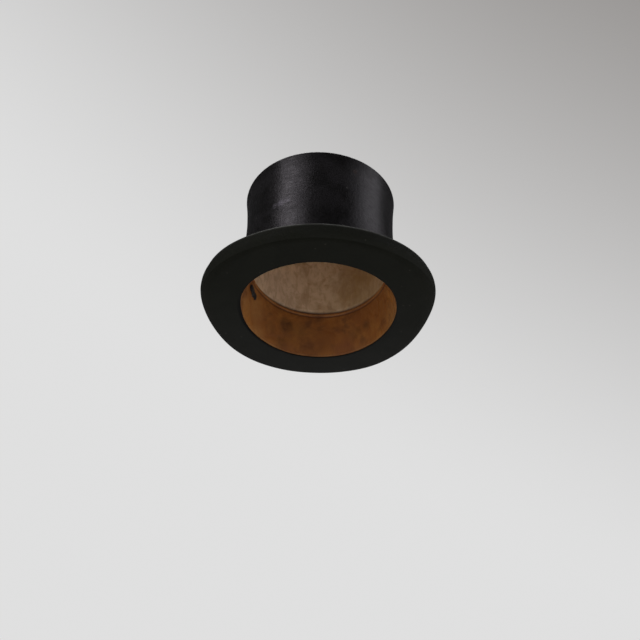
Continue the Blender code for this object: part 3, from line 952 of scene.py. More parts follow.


# The ruffled spots are painted highlights of disturbed nap; the singed spot is a brown stain.
RUFFLED_HIGHLIGHT, SINGED = (0.08, 0.072, 0.09), (0.03, 0.014, 0.008)
CROWN_SPOTS = (
    ColourSpot((-43.9, -82.0, 81.3), 0.8, 5, RUFFLED_HIGHLIGHT, 0.6),
    ColourSpot((-37.5, -86.5, 81.9), 1.5, 6.5, RUFFLED_HIGHLIGHT, 0.8),
    ColourSpot((-31.1, -90.0, 83.1), 1.0, 5.5, RUFFLED_HIGHLIGHT, 0.7),
    ColourSpot((39.2, -85.0, 122.7), 0.8, 4, SINGED, 0.6),
)
DARK, RED = (0.05, 0.017, 0.004), (0.165, 0.046, 0.018)
OCHRE, PALE = (0.27, 0.12, 0.026), (0.33, 0.155, 0.045)
LEATHER_STAINS = (
    ColourSpot((-75.1, 18.9, 50.0), 3, 12, RED, 0.75),
    ColourSpot((-39.2, 84.2, 32.6), 3, 14, DARK, 1.0),
    ColourSpot((-56.3, 70.4, 22.2), 2, 12, DARK, 0.5),
    ColourSpot((-43.1, 84.2, 10.5), 3, 16, DARK, 0.6),
    ColourSpot((-34.2, 90.5, 4.9), 3, 14, RED, 0.5),
    ColourSpot((-24.6, 92.1, 31.9), 3, 13, OCHRE, 0.6),
    ColourSpot((52.0, 74.0, 28.1), 2, 9, DARK, 0.6),
    ColourSpot((39.6, 85.1, 23.9), 2, 12, DARK, 0.6),
    ColourSpot((28.2, 93.3, 6.4), 4, 22, RED, 0.6),
    ColourSpot((-18.0, 95.0, 10.0), 8, 42, (0.15, 0.056, 0.017), 0.65),
    ColourSpot((79.5, 26.8, 9.9), 6, 26, PALE, 0.8),
    ColourSpot((-70.0, 45.0, 32.0), 6, 22, PALE, 0.7),
    ColourSpot((-79.5, 20.0, 22.5), 5, 20, PALE, 0.6),
    ColourSpot((-68.3, 55.9, 7.6), 4, 16, PALE, 0.7),
)
# A large browner patch over the wall on the wearer's left, and a paler one on the wearer's right.
SILK_TONE_PATCHES = (
    ColourSpot((56.8, 65.1, 73.0), 12, 90, (0.26, 0.142, 0.032), 1.0),
    ColourSpot((-49.1, 73.3, 76.9), 10, 45, (0.72, 0.55, 0.4), 0.7),
)


class Wardrobe:
    """Makes each finish's material once and dresses finished meshes in it."""

    def __init__(self, effects: Effects) -> None:
        """Keeps the shared node groups."""
        self.effects = effects
        self.made: dict[str, bpy.types.Material] = {}

    def material(self, finish: Finish) -> bpy.types.Material:
        """The material of a finish, built the first time that it is asked for.

        Args:
            finish: The finish.

        Returns:
            The material.
        """
        if finish.name not in self.made:
            self.made[finish.name] = finish.material(self.effects)
        return self.made[finish.name]

    def dress(self, name: str, bm: Mesh, finish: Finish, *replaced: str) -> Piece:
        """Turns a mesh into a piece of the hat.

        Args:
            name: Name of the piece.
            bm: Its mesh, in place, which is used up.
            finish: Its finish.
            replaced: Solids that the piece stands for.

        Returns:
            The piece.
        """
        bmesh.ops.remove_doubles(bm, verts=bm.verts, dist=WELD)
        bmesh.ops.recalc_face_normals(bm, faces=bm.faces)
        mesh = bpy.data.meshes.new(name)
        bm.to_mesh(mesh)
        bm.free()
        mesh.shade_smooth()
        mesh.set_sharp_from_angle(angle=SHARP_ANGLE)
        mesh.materials.append(self.material(finish))
        piece = add_object(name, mesh)
        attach(piece, BODY)
        if replaced:
            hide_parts(*replaced)
        LOG.info("%s: %d faces", name, len(mesh.polygons))
        return piece


def unit_grid(along: int, across: int) -> Mesh:
    """Makes a flat grid whose sides run from 0 to 1.

    Args:
        along: Number of faces along X.
        across: Number of faces along Y.

    Returns:
        The grid's mesh.
    """
    bm = bmesh.new()
    bmesh.ops.create_grid(bm, x_segments=along, y_segments=across, size=0.5)
    bmesh.ops.translate(bm, vec=(0.5, 0.5, 0), verts=bm.verts)
    return bm


@dataclass
class Ring:
    """A ring or disc round the hat, whose section is a list of loops."""

    loops: list[Loop]
    stations: int
    closed: bool = True
    wear: Callable[[int, float], float] | None = None

    def mesh(self) -> Mesh:
        """Rolls a flat grid with a row for each loop round the hat.

        Returns:
            The ring's mesh, with its flat cut as a UV map, and as an attribute its wear, which on some pieces
            is painted light. Its ends meet and are still to be merged.
        """
        rows = self.loops + self.loops[:1] if self.closed else self.loops
        last = len(rows) - 1
        bm = unit_grid(self.stations, last)
        section = [loop(math.pi / 2) for loop in rows]
        lengths = [0.0]
        for point, after in zip(section, section[1:]):
            lengths.append(lengths[-1] + (after - point).length)
        layer = bm.loops.layers.uv.new(CUT_MAP)
        worn = bm.verts.layers.float.new(WEAR_AND_PAINTED_LIGHT)
        for face in bm.faces:
            for corner in face.loops:
                corner[layer].uv = (corner.vert.co.x, lengths[round(corner.vert.co.y * last)])
        for vert in bm.verts:
            row = round(vert.co.y * last)
            angle = vert.co.x * math.tau
            vert[worn] = self.wear(row % len(self.loops), angle) if self.wear else 0
            vert.co = rows[row](angle)
        return bm


@dataclass
class Patch:
    """A ribbon or other strip: a flat grid bent into place and given a thickness."""

    place: Place
    along: int
    across: int
    thickness: float

    def mesh(self) -> Mesh:
        """Bends a grid whose sides run from 0 to 1.

        Returns:
            The strip's mesh, with its flat cut as a UV map.
        """
        bm = unit_grid(self.along, self.across)
        layer = bm.loops.layers.uv.new(CUT_MAP)
        for face in bm.faces:
            for corner in face.loops:
                corner[layer].uv = corner.vert.co.xy
        for vert in bm.verts:
            vert.co = self.place(vert.co.x, vert.co.y)
        bmesh.ops.recalc_face_normals(bm, faces=bm.faces)
        bmesh.ops.solidify(bm, geom=bm.faces[:], thickness=self.thickness)
        return bm


@dataclass
class StitchRow:
    """A row of thread stitches, each a small capsule laid along its own direction."""

    count: int
    length: float
    thickness: float
    place: Callable[[float], Matrix]

    def mesh(self) -> Mesh:
        """Lays the stitches round the hat, each with its long axis on the place's Y.

        Returns:
            The mesh of the whole row.
        """
        one = bmesh.new()
        bmesh.ops.create_uvsphere(one, u_segments=6, v_segments=4, radius=0.5)
        bmesh.ops.scale(one, vec=(self.thickness, self.length, self.thickness), verts=one.verts)
        shape = bpy.data.meshes.new("stitch")
        one.to_mesh(shape)
        one.free()
        bm = bmesh.new()
        for k in range(self.count):
            laid = shape.copy()
            laid.transform(self.place(math.tau * k / self.count))
            bm.from_mesh(laid)
            bpy.data.meshes.remove(laid)
        bpy.data.meshes.remove(shape)
        return bm


@dataclass
class SubAssembly:
    """A part of the hat made of several pieces: the lines it follows, and what dresses its meshes."""

    lines: HatLines
    wardrobe: Wardrobe


@dataclass
class CrownCover(SubAssembly):
    """The silk plush over the crown: its side, and the disc over its tip."""

    side_finish: Finish
    tip_finish: Finish
    stations: int = 320
    side_rows: int = 76
    back_rows: int = 6
    tip_rows: int = 26
    edge_rows: int = 7
    broad: Wave = Wave(0.196 * MM, 34 * MM, 1)
    fine: Wave = Wave(0.126 * MM, 13 * MM, 4)
    seam_gap: float = 0.12 * MM
    lean: float = 1.4 * MM
    lean_from: float = 50 * MM
    lean_to: float = 120 * MM

    def leaned(self, point: Vector) -> Vector:
        """A point of the cover where the worn crown has spread a little towards the wearer's left."""
        share = smooth(point.x, 0, self.lines.half_width) * smooth(point.z, self.lean_from, self.lean_to)
        return point + Vector((self.lean * share, 0, 0))

    def relief(self, place: Vector) -> float:
        """How far the plush stands out from its even face."""
        return self.broad.at(place) + self.fine.at(place)

    def side_point(self, height: float, depth: float, angle: float) -> Vector:
        """Finds a point of the side, which is uneven on its face only.

        Args:
            height: Height at the front of the hat.
            depth: Depth below the face.
            angle: Angle round the hat.

        Returns:
            The point.
        """
        face = self.lines.plush_face(height)
        relief = 0 if depth else self.relief(self.lines.wall_point(angle, face, height))
        return self.leaned(self.lines.wall_point(angle, face - depth + relief, height))

    def build_side(self) -> None:
        """Builds the side's plush."""
        foot, top = self.lines.plush_foot, self.lines.tip_edge_height - self.seam_gap
        loops = [partial(self.side_point, height, 0) for height in steps(foot, top, self.side_rows)]
        loops += [partial(self.side_point, height, self.lines.pile)
                  for height in steps(top, foot, self.back_rows)]
        piece = self.wardrobe.dress("crown_side_plush_cover", Ring(loops, self.stations).mesh(),
                                    self.side_finish, "crown_side_plush")

    def tip_point(self, centre: float, share: float, height: float, angle: float) -> Vector:
        """Finds a point of the disc over the tip, which dips on its face only.

        Args:
            centre: Offset of the disc's level part.
            share: Share of the way out to it.
            height: Height of the disc's face or back.
            angle: Angle round the hat.

        Returns:
            The point.
        """
        point = self.lines.oval(angle, centre) * share
        lift = self.relief(point + Vector((0, 0, height))) if height == self.lines.crown_height else 0
        return self.leaned(point + Vector((0, 0, height + min(lift, 0) * smooth(1 - share, 0, 0.1))))

    def rim_point(self, offset: float, height: float, angle: float) -> Vector:
        """A point of the disc's turned rim."""
        return self.leaned(self.lines.wall_point(angle, offset, height))

    def build_tip(self) -> None:
        """Builds the disc over the tip, whose rim turns down to meet the side."""
        lines = self.lines
        centre = lines.crown_face(lines.tip_edge_height) - lines.tip_edge_radius
        turns = steps(0, math.pi / 2, self.edge_rows)
        rim = [(lines.tip_edge_radius, turn) for turn in reversed(turns)]
        rim += [(lines.tip_edge_radius - lines.pile, turn) for turn in turns]
        loops = [partial(self.tip_point, centre, share, lines.crown_height)
                 for share in steps(0, 1, self.tip_rows)[:-1]]
        loops += [partial(self.rim_point, centre + radius * math.cos(turn),
                          lines.tip_edge_height + radius * math.sin(turn)) for radius, turn in rim]
        under = lines.crown_height - lines.pile
        loops += [partial(self.tip_point, centre, share, under) for share in (0.5, 0)]
        piece = self.wardrobe.dress("crown_tip_plush_cover", Ring(loops, self.stations, closed=False).mesh(),
                                    self.tip_finish, "crown_tip_plush")

    def build(self) -> None:
        """Builds the side, then the tip."""
        self.build_side()
        self.build_tip()


@dataclass
class BrimCover(SubAssembly):
    """The brim: its board, the plush above it, the cloth below it and the ribbon round its edge."""

    board_finish: Finish
    plush_finish: Finish
    cloth_finish: Finish
    ribbon_finish: Finish
    stations: int = 360
    flat_rows: int = 14
    curl_rows: int = 16
    sag: Wave = Wave(0.3 * MM, 45 * MM, 7)
    sag_from: float = 8 * MM
    sag_to: float = 40 * MM
    strip_ease: float = 4 * MM
    binding_depth: float = 14 * MM
    ribbon: float = 0.5 * MM
    pressed: float = 0.04 * MM
    pressed_share: float = 0.4
    binding_rows: int = 14
    fold_rows: int = 9
    bead_rows: int = 8
    bead_turn: float = math.radians(260)
    bulge: float = 1.1 * MM
    bulge_angle: float = math.radians(-93)
    bulge_spread: float = 0.24
    edge_shade_angle: float = math.radians(-108)
    edge_shade_spread: float = 0.55
    edge_shade_all_round: float = 0.25

    def settled(self, angle: float, distance: float, layer: float) -> Vector:
        """A point of the brim, by its distance along the underside, as it has settled with wear.

        Args:
            angle: Angle round the hat.
            distance: Distance along the underside from the head oval.
            layer: Depth above the underside.

        Returns:
            The point.
        """
        free = smooth(distance, self.sag_from, self.sag_to)
        sag = self.sag.at(self.lines.brim_point(angle, distance, 0)) * free
        return self.lines.brim_point(angle, distance, layer + sag)

    def point(self, layer: float, inner: float, share: float, angle: float) -> Vector:
        """Finds a point of a brim layer.

        Args:
            layer: Depth above the underside.
            inner: Offset of the layer's inner edge.
            share: 0 at that edge, 1 at the end of the flat and 2 at the brim's bare edge.
            angle: Angle round the hat.

        Returns:
            The point.
        """
        flat_end, edge = self.lines.flat_reach(angle), self.lines.brim_length(angle)
        start, end, part = (inner, flat_end, share) if share <= 1 else (flat_end, edge, share - 1)
        return self.settled(angle, start + (end - start) * part, layer)

    def faces(self, point: Callable[..., Vector], low: float, high: float, inner: float) -> list[Loop]:
        """Lists the loops of a layer: out along its lower face, and back along its upper one.

        Args:
            point: Finds a point of the layer.
            low: Depth of the lower face above the underside.
            high: Depth of the upper face.
            inner: Offset of the inner edge.

        Returns:
            The loops.
        """
        shares = steps(0, 1, self.flat_rows)[:-1] + steps(1, 2, self.curl_rows)
        rows = [(low, share) for share in shares] + [(high, share) for share in reversed(shares)]
        return [partial(point, level, inner, share) for level, share in rows]

    def stretch_on_board(self, piece: Piece, inner: float) -> None:
        """Works out the overall width and length that a cover spans to the brim's bare edge; nothing is done
        with them.

        Args:
            piece: The cover; not used.
            inner: Offset of its inner edge; not used.
        """
        lines = self.lines
        width = 2 * (lines.half_width + lines.brim_length(math.pi / 2))
        length = 2 * (lines.half_length + lines.brim_length(0))

    def build_board(self) -> None:
        """Builds the stiff board that carries the covers."""
        lines = self.lines
        loops = self.faces(self.point, lines.board_underside, lines.board_top, lines.board_edge)
        self.wardrobe.dress("brim_board", Ring(loops, self.stations).mesh(), self.board_finish, "brim_shell")

    def bead_point(self, distance: float, layer: float, angle: float) -> Vector:
        """A point of the cloth's rolled edge, which stands further in beside the leather's join."""
        bulge = self.bulge * beside(angle, self.bulge_angle, self.bulge_spread)
        return self.lines.brim_point(angle, distance - bulge, layer)

    def edge_shade_share(self, angle: float) -> float:
        """Share of painted shade on the rolled edge, which is darkest beside the leather's join."""
        more = (1 - self.edge_shade_all_round) * beside(angle, self.edge_shade_angle, self.edge_shade_spread)
        return self.edge_shade_all_round + more

    def build_under_cloth(self) -> None:
        """Builds the cloth under the brim, whose inner edge is rolled over below the leather."""
        inner = self.lines.leather + self.lines.clearance
        radius = self.lines.bead / 2
        loops = self.faces(self.point, 0, self.lines.under_cloth, inner)
        unshaded_rows = range(1, len(loops))
        loops += [partial(self.bead_point, inner - radius - radius * math.sin(turn),
                          radius - radius * math.cos(turn))
                  for turn in reversed(steps(0, self.bead_turn, self.bead_rows))]
        # Painted shade: the rolled edge and the innermost row get a share of dark colour, most beside the
        # leather's join.
        mesh = Ring(loops, self.stations,
                    wear=lambda row, angle: 0.0 if row in unshaded_rows else self.edge_shade_share(angle)).mesh()
        piece = self.wardrobe.dress("under_brim_wool", mesh, self.cloth_finish, "under_brim_cloth")
        self.stretch_on_board(piece, inner)

    def plush_point(self, level: float, inner: float, share: float, angle: float) -> Vector:
        """Finds a point of the plush on the brim, which the joint strip's foot raises.

        Args:
            level: Depth above the brim's underside.
            inner: Offset of the plush's inner edge.
            share: As for the other layers.
            angle: Angle round the hat.

        Returns:
            The point.
        """
        if share >= 1:
            return self.point(level, inner, share, angle)
        distance = inner + (self.lines.flat_reach(angle) - inner) * share
        foot_end = inner + self.lines.strip_foot
        past = smooth(distance, foot_end, foot_end + self.strip_ease)
        step = (self.lines.strip + self.lines.clearance) * (1 - past)
        return self.settled(angle, distance, level + step)

    def build_top_plush(self) -> None:
        """Builds the plush on the brim, which passes over the foot of the joint strip."""
        lines = self.lines
        inner = lines.shell_face(lines.strip_underside) + 2 * lines.clearance + lines.strip
        loops = self.faces(self.plush_point, lines.strip_underside, lines.brim_top, inner)
        mesh = Ring(loops, self.stations).mesh()
        piece = self.wardrobe.dress("brim_top_plush_cover", mesh, self.plush_finish, "brim_top_plush")
        self.stretch_on_board(piece, inner)

    def edge_point(self, out: float, layer: float, angle: float) -> Vector:
        """A point by its distance out from the brim's bare edge and its depth above the underside."""
        return self.settled(angle, self.lines.brim_length(angle) + out, layer)

    def build_binding(self) -> None:
        """Builds the ribbon folded over the brim's edge, with its free edges pressed down."""
        lines = self.lines
        middle = lines.brim_top / 2
        rows = steps(0, 1, self.binding_rows)
        turns = steps(0, math.pi, self.fold_rows + 1)[1:-1]

        def side(share: float, depth: float) -> tuple[float, float]:
            """Distance in from the edge, and height over the cover, at a share of the way out."""
            lift = self.pressed + depth * smooth(share, 0, self.pressed_share)
            return -self.binding_depth * (1 - share), lift

        def fold(turn: float, swell: float) -> tuple[float, float]:
            """Distance out and depth of the fold at a turn round the edge."""
            layer = middle - (middle + lines.clearance + swell) * math.cos(turn)
            return (lines.clearance + swell) * math.sin(turn), layer

        inside = [side(share, lines.clearance) for share in rows]
        outside = [side(share, lines.clearance + self.ribbon) for share in rows]
        spots = [(out, -2 * self.pressed - lift) for out, lift in outside]
        spots += [fold(turn, self.ribbon) for turn in turns]
        spots += [(out, lines.brim_top + 2 * self.pressed + lift) for out, lift in reversed(outside)]
        spots += [(out, lines.brim_top + lift) for out, lift in inside]
        spots += [fold(turn, 0) for turn in reversed(turns)]
        spots += [(out, -lift) for out, lift in reversed(inside)]
        # Painted highlight: the rows at and round the fold get a wear value that paints the ribbon pale
        # there, for light caught on the edge and partly for rubbing.
        fold_highlight = {len(rows) - 2: 0.2, len(rows) - 1: 0.8}
        fold_highlight |= {row: 0.75 + 0.25 * math.sin(turn) for row, turn in enumerate(turns, len(rows))}
        mesh = Ring([partial(self.edge_point, *spot) for spot in spots], self.stations,
                    wear=lambda row, angle: fold_highlight.get(row, 0.0)).mesh()
        piece = self.wardrobe.dress("brim_ribbon_binding", mesh, self.ribbon_finish, "brim_binding")

    def build(self) -> None:
        """Builds the brim from its board outwards."""
        self.build_board()
        self.build_under_cloth()
        self.build_top_plush()
        self.build_binding()


@dataclass
class RibbonBow(SubAssembly):
    """A flat ribbon bow on an upright face: two loops pinched under a knot."""

    finish: Finish
    angle: float
    height: float
    face: Callable[[float, float], float]
    inwards: bool
    reach: float
    width: float
    knot_width: float
    knot_height: float
    seat: float
    depth: float
    knot_depth: float
    tilt: float
    ribbon: float
    pinch: float = 0.5
    taper: float = 0.0
    pleats: float = 2.5
    end_round: float = 0.36
    front_out: float = 0.5
    back_out: float = -0.3
    pleat_depth: float = 0.14
    end_bow: float = 0.06

    def point(self, along: float, up: float, out: float) -> Vector:
        """Finds a point by its place on the face.

        Args:
            along: Length towards the left and back from the bow's middle.
            up: Length up from the bow's middle.
            out: Distance off the face, towards the side that the bow is on.

        Returns:
            The point.
        """
        cosine, sine = math.cos(self.tilt), math.sin(self.tilt)
        level = self.height + up * cosine + along * sine
        turned = self.angle + (along * cosine - up * sine) / self.lines.half_length
        way = -1 if self.inwards else 1
        return self.lines.wall_point(turned, self.face(turned, level) + way * out, level)

    def loop_place(self, way: int, u: float, v: float) -> Vector:
        """Bends a ribbon into one loop: out along the front, round its end, and back behind.

        Args:
            way: 1 for the loop towards the left and back, -1 for the other.
            u: Share of the way along the ribbon.
            v: Share of the way across it.

        Returns:
            The place of that point.
        """
        start, end_radius = 0.25 * self.knot_width, self.depth * self.end_round
        leg = abs(2 * u - 1)
        reached = 1 - leg
        side_out = self.front_out if u < 0.5 else self.back_out
        span = smooth(reached, 0, 0.75)
        end = smooth(leg, 0.0, 0.16)
        along = start + (self.reach - end_radius - start) * math.sin(reached * math.pi / 2)
        along += end_radius * (1 - end)
        bulge = math.sin(reached * math.pi) ** 0.5 if 0 < reached < 1 else 0
        out = 0.5 * self.depth + side_out * self.depth * end * (0.35 + 0.65 * bulge)
        pleat = math.cos(self.pleats * math.tau * (v - 0.5)) * (1 - span) * self.pleat_depth * self.depth
        half = self.width / 2 * (self.pinch + (1 - self.pinch) * span) * (1 - self.taper * reached**2)
        swell = 1 - self.end_bow * (2 * v - 1) ** 2 * span
        return self.point(way * along * swell, (2 * v - 1) * half, self.seat + out + pleat)

    def knot_place(self, u: float, v: float) -> Vector:
        """Wraps the knot's ribbon over the middle of the bow.

        Args:
            u: Share of the way over the knot, from its lower back to its upper back.
            v: Share of the way across it.

        Returns:
            The place of that point.
        """
        turn = math.pi * (u - 0.5) * 1.1
        up = self.knot_height / 2 * math.copysign(abs(math.sin(turn)) ** 0.7, turn)
        out = self.knot_depth * max(math.cos(turn), 0) ** 0.45
        waist = 1 - 0.16 * math.cos(turn)
        pleat = 0.1 * self.knot_depth * math.cos(self.pleats * math.tau * (v - 0.5))
        round_off = 1 - 0.35 * abs(2 * v - 1) ** 4
        return self.point((v - 0.5) * self.knot_width * waist, up, self.seat + (out + pleat) * round_off)

    def build(self, name: str, front: str, back: str, knot: str) -> list[Piece]:
        """Builds both loops and the knot.

        Args:
            name: Start of the pieces' names.
            front: Solid of the loop towards the front.
            back: Solid of the loop towards the back.
            knot: Solid of the knot.

        Returns:
            The pieces.
        """
        pieces = []
        for end, way, solid in (("front", -1, front), ("back", 1, back)):
            mesh = Patch(partial(self.loop_place, way), along=64, across=18, thickness=self.ribbon).mesh()
            pieces.append(self.wardrobe.dress(f"{name}_loop_{end}", mesh, self.finish, solid))
        mesh = Patch(self.knot_place, along=36, across=20, thickness=self.ribbon).mesh()
        pieces.append(self.wardrobe.dress(f"{name}_wrap", mesh, self.finish, knot))
        return pieces


@dataclass
class HatBand(SubAssembly):
    """The corded ribbon round the foot of the crown, and the flat bow over its join."""

    finish: Finish
    bow_finish: Finish
    stations: int = 360
    ribbon: float = 0.6 * MM
    rows: int = 20
    selvedge: float = 0.14 * MM
    selvedge_height: float = 1.1 * MM
    bow_angle: float = math.radians(90)
    bow_reach: float = 24 * MM
    bow_depth: float = 2.4 * MM
    bow_seat: float = 0.5 * MM
    bow_ribbon: float = 0.45 * MM
    knot_width: float = 9 * MM
    knot_depth: float = 3.2 * MM

    def face(self, angle: float, height: float) -> float:
        """Offset of the ribbon's face, the same all round."""
        return self.lines.plush_face(height) + self.lines.clearance + self.ribbon

    def loop(self, height: float, depth: float) -> Loop:
        """One loop of the band, with its woven edges a little proud.

        Args:
            height: Height at the front of the hat.
            depth: Depth in from the piece's face.

        Returns:
            The loop.
        """
        low, high = self.lines.band_foot, self.lines.band_foot + self.lines.band_height
        edge = min(height - low, high - height)
        proud = self.selvedge * (1 - smooth(edge, 0, self.selvedge_height)) if depth == 0 else 0
        offset = self.face(0, height) - depth + proud
        return lambda angle: self.lines.wall_point(angle, offset, height)

    def build(self) -> None:
        """Builds the band and its bow."""
        lines = self.lines
        heights = steps(lines.band_foot, lines.band_foot + lines.band_height, self.rows)
        loops = [self.loop(height, 0) for height in heights]
        loops += [self.loop(height, self.ribbon) for height in reversed(heights)]
        mesh = Ring(loops, self.stations).mesh()
        band = self.wardrobe.dress("hat_band_ribbon", mesh, self.finish, "hat_band")
        girth = math.pi * (lines.half_width + lines.half_length + 2 * self.face(0, heights[0]))
        bow = RibbonBow(
            lines, self.wardrobe, self.bow_finish, angle=self.bow_angle,
            height=lines.band_foot + lines.band_height / 2, face=self.face, inwards=False,
            reach=self.bow_reach, width=lines.band_height, knot_width=self.knot_width,
            knot_height=lines.band_height * 0.96, seat=self.bow_seat, depth=self.bow_depth,
            knot_depth=self.knot_depth, tilt=0, ribbon=self.bow_ribbon)
        pieces = bow.build("hat_band_bow", "hat_band_bow_front", "hat_band_bow_back", "hat_band_knot")


@dataclass
class Sweatband(SubAssembly):
    """The leather inside the head opening, its reed, its seams and the small bow on its join."""

    leather_finish: Finish
    cane_finish: Finish
    tape_finish: Finish
    thread_finish: Finish
    bow_finish: Finish
    stations: int = 440
    rows: int = 50
    back_rows: int = 8
    broad_wear: Wave = Wave(0.35 * MM, 26 * MM, 3)
    fine_wear: Wave = Wave(0.12 * MM, 8 * MM, 5)
    upright_folds: Wave = Wave(1 * MM, 16 * MM, 9)
    level_folds: Wave = Wave(0.15 * MM, 21 * MM, 12)
    fixed_foot: float = 7 * MM
    fixed_top: float = 8 * MM
    hem_height: float = 3.2 * MM
    hem_swell: float = 0.8 * MM
    top_round: float = 0.35 * MM
    groove: float = 0.5 * MM
    groove_width: float = 1.2 * MM
    groove_drop: float = 0.5 * MM
    rubbed_foot: float = 11 * MM
    lap_angle: float = math.radians(-107.6)
    lap_width: float = 0.13
    lap_step: float = 0.45 * MM
    creased_angle: float = math.radians(105)
    creased_spread: float = 0.6
    gap: float = 0.6 * MM
    gap_angle: float = math.radians(-93)
    gap_spread: float = 0.2
    gap_reach: float = 12 * MM
    reed_radius: float = 0.5 * MM
    reed_sides: int = 10
    reed_stations: int = 240
    tape: float = 0.3 * MM
    tape_mouth: float = math.radians(80)
    reed_seam_height: float = 3.4 * MM
    reed_seam_slant: float = math.radians(38)
    bow_height: float = 39.9 * MM
    bow_tilt: float = math.radians(9.3)

    @property
    def hem_foot(self) -> float:
        """Height of the lower edge of the hem."""
        return self.lines.sweatband_height - self.hem_height

    @property
    def hem_line(self) -> float:
        """Height of the sewn line below the hem."""
        return self.hem_foot - self.groove_drop

    def relief(self, angle: float, height: float) -> float:
        """How far the worn leather stands inwards from its even face.

        Args:
            angle: Angle round the hat.
            height: Height at the front of the hat.

        Returns:
            The distance, towards the head.
        """
        place = self.lines.wall_point(angle, 0, height)
        below_top = self.lines.sweatband_height - height
        fixed = smooth(height, 0, self.fixed_foot) * smooth(below_top, 0, self.fixed_top)
        worn = self.broad_wear.at(place) + self.fine_wear.at(place)
        side = beside(angle, self.creased_angle, self.creased_spread)
        upright = self.upright_folds.crease(Vector((place.x, place.y, 0.45 * place.z)), 0.14)
        upright *= 0.1 + 0.7 * side
        level = self.level_folds.crease(Vector((0.5 * place.x, 0.5 * place.y, place.z)), 0.1)
        hem = smooth(height, self.hem_foot - 0.2 * MM, self.hem_foot + 1.2 * MM)
        hem *= smooth(below_top, -0.2 * MM, 1.4 * MM) * self.hem_swell
        line = self.groove * (1 - smooth(abs(height - self.hem_line), 0, self.groove_width))
        past = turn_between(angle, self.lap_angle)
        lap = self.lap_step * (1 - smooth(past, 0, self.lap_width)) if past > 0 else 0
        return (worn - upright - level) * fixed + hem - line + lap

    def raised(self, angle: float, height: float) -> float:
        """Height of a place on the leather, drawn up at its foot beside the join."""
        drawn = self.gap * beside(angle, self.gap_angle, self.gap_spread)
        return height + drawn * (1 - smooth(height, 0, self.gap_reach))

    def point(self, height: float, depth: float, relief: float, angle: float) -> Vector:
        """Finds a point of the leather.

        Args:
            height: Height at the front of the hat.
            depth: Depth in from its hidden face.
            relief: Share of its wear that shows.
            angle: Angle round the hat.

        Returns:
            The point.
        """
        level = self.raised(angle, height)
        worn = self.relief(angle, level) * relief if relief else 0
        return self.lines.wall_point(angle, self.lines.sweatband_back(angle, level) - depth - worn, level)

    def face(self, angle: float, height: float) -> float:
        """Offset of the leather's shown face."""
        return self.lines.sweatband_back(angle, height) - self.lines.leather - self.relief(angle, height)

    def wear(self, height: float, foot: float) -> float:
        """How rubbed the leather is.

        Args:
            height: Height at the front of the hat.
            foot: Height of its lower edge.

        Returns:
            1 where it is rubbed bare, 0 where it is whole and -1 in the sewn line below the hem, which is
            coloured darker.
        """
        line = 1 - smooth(abs(height - self.hem_line), 0.3 * MM, 1.3 * MM)
        low = 0.85 * (1 - smooth(height, foot, foot + self.rubbed_foot))
        edge = 1 - smooth(height, foot + 0.8 * MM, foot + 2.6 * MM)
        hem = 0.9 * smooth(height, self.hem_foot, self.hem_foot + 0.4 * self.hem_height)
        return -line if line > 0.2 else max(low, edge, hem)

    def build_leather(self) -> None:
        """Builds the leather band with its rolled hem and lapped join."""
        lines = self.lines
        foot, top = lines.bead + lines.clearance, lines.sweatband_height
        heights = steps(foot, top, self.rows)
        loops = [partial(self.point, height, lines.leather, 1) for height in heights]
        loops.append(partial(self.point, top + self.top_round, 0.5 * lines.leather, 0.5))
        loops += [partial(self.point, height, 0, 0) for height in steps(top, foot, self.back_rows)]
        rubbed = [self.wear(height, foot) for height in heights]
        rubbed += [0.0] * (len(loops) - len(rubbed))
        mesh = Ring(loops, self.stations, wear=lambda row, angle: rubbed[row]).mesh()
        piece = self.wardrobe.dress("sweatband_leather", mesh, self.leather_finish, "sweatband")

    def build_reed(self) -> None:
        """Builds the cane reed behind the leather's foot, and the tape folded round it."""
        lines = self.lines
        half = lines.casing / 2
        centre, height = lines.leather + lines.clearance + half, lines.board_underside + half

        def circle(radius: float, turns: list[float]) -> list[Loop]:
            """Loops at some turns round the reed's middle."""
            spots = [(centre + radius * math.cos(t), height + radius * math.sin(t)) for t in turns]
            return [lambda angle, spot=spot: lines.wall_point(angle, *spot) for spot in spots]

        turns = steps(math.pi, math.pi + math.tau - self.tape_mouth, self.reed_sides)
        cane = circle(self.reed_radius, steps(0, math.tau, self.reed_sides)[:-1])
        tape = circle(half, turns) + circle(half - self.tape, turns)[::-1]
        for name, loops, finish, solid in (("sweatband_reed_cane", cane, self.cane_finish, "sweatband_reed"),
                                           ("reed_tape", tape, self.tape_finish, "reed_casing")):
            self.wardrobe.dress(name, Ring(loops, self.reed_stations).mesh(), finish, solid)

    def stitch_place(self, height: float, slant: float, sink: float, angle: float) -> Matrix:
        """Finds where a stitch lies on the leather.

        Args:
            height: Height of its row.
            slant: Its turn from the row's direction.
            sink: How deep it is drawn into the leather.
            angle: Angle round the hat.

        Returns:
            The stitch's place.
        """
        level = self.raised(angle, height)
        point, after = [self.lines.wall_point(turn, self.face(turn, level) + sink, level)
                        for turn in (angle, angle + 0.01)]
        along = (after - point).normalized()
        out = along.cross(Vector((0, 0, 1))).normalized()
        axes = Matrix((out, along, out.cross(along))).transposed().to_4x4()
        return Matrix.Translation(point) @ axes @ Matrix.Rotation(slant, 4, "X")

    def build_seams(self) -> None:
        """Builds the hem's row of stitches and the slanting stitches over the reed."""
        hem = StitchRow(count=200, length=2.1 * MM, thickness=0.42 * MM,
                        place=partial(self.stitch_place, self.hem_line, 0, 0.02 * MM))
        reed = StitchRow(count=150, length=2.6 * MM, thickness=0.4 * MM,
                         place=partial(self.stitch_place, self.reed_seam_height, self.reed_seam_slant,
                                       0.04 * MM))
        self.wardrobe.dress("sweatband_hem_stitches", hem.mesh(), self.thread_finish)
        self.wardrobe.dress("sweatband_reed_stitches", reed.mesh(), self.thread_finish)

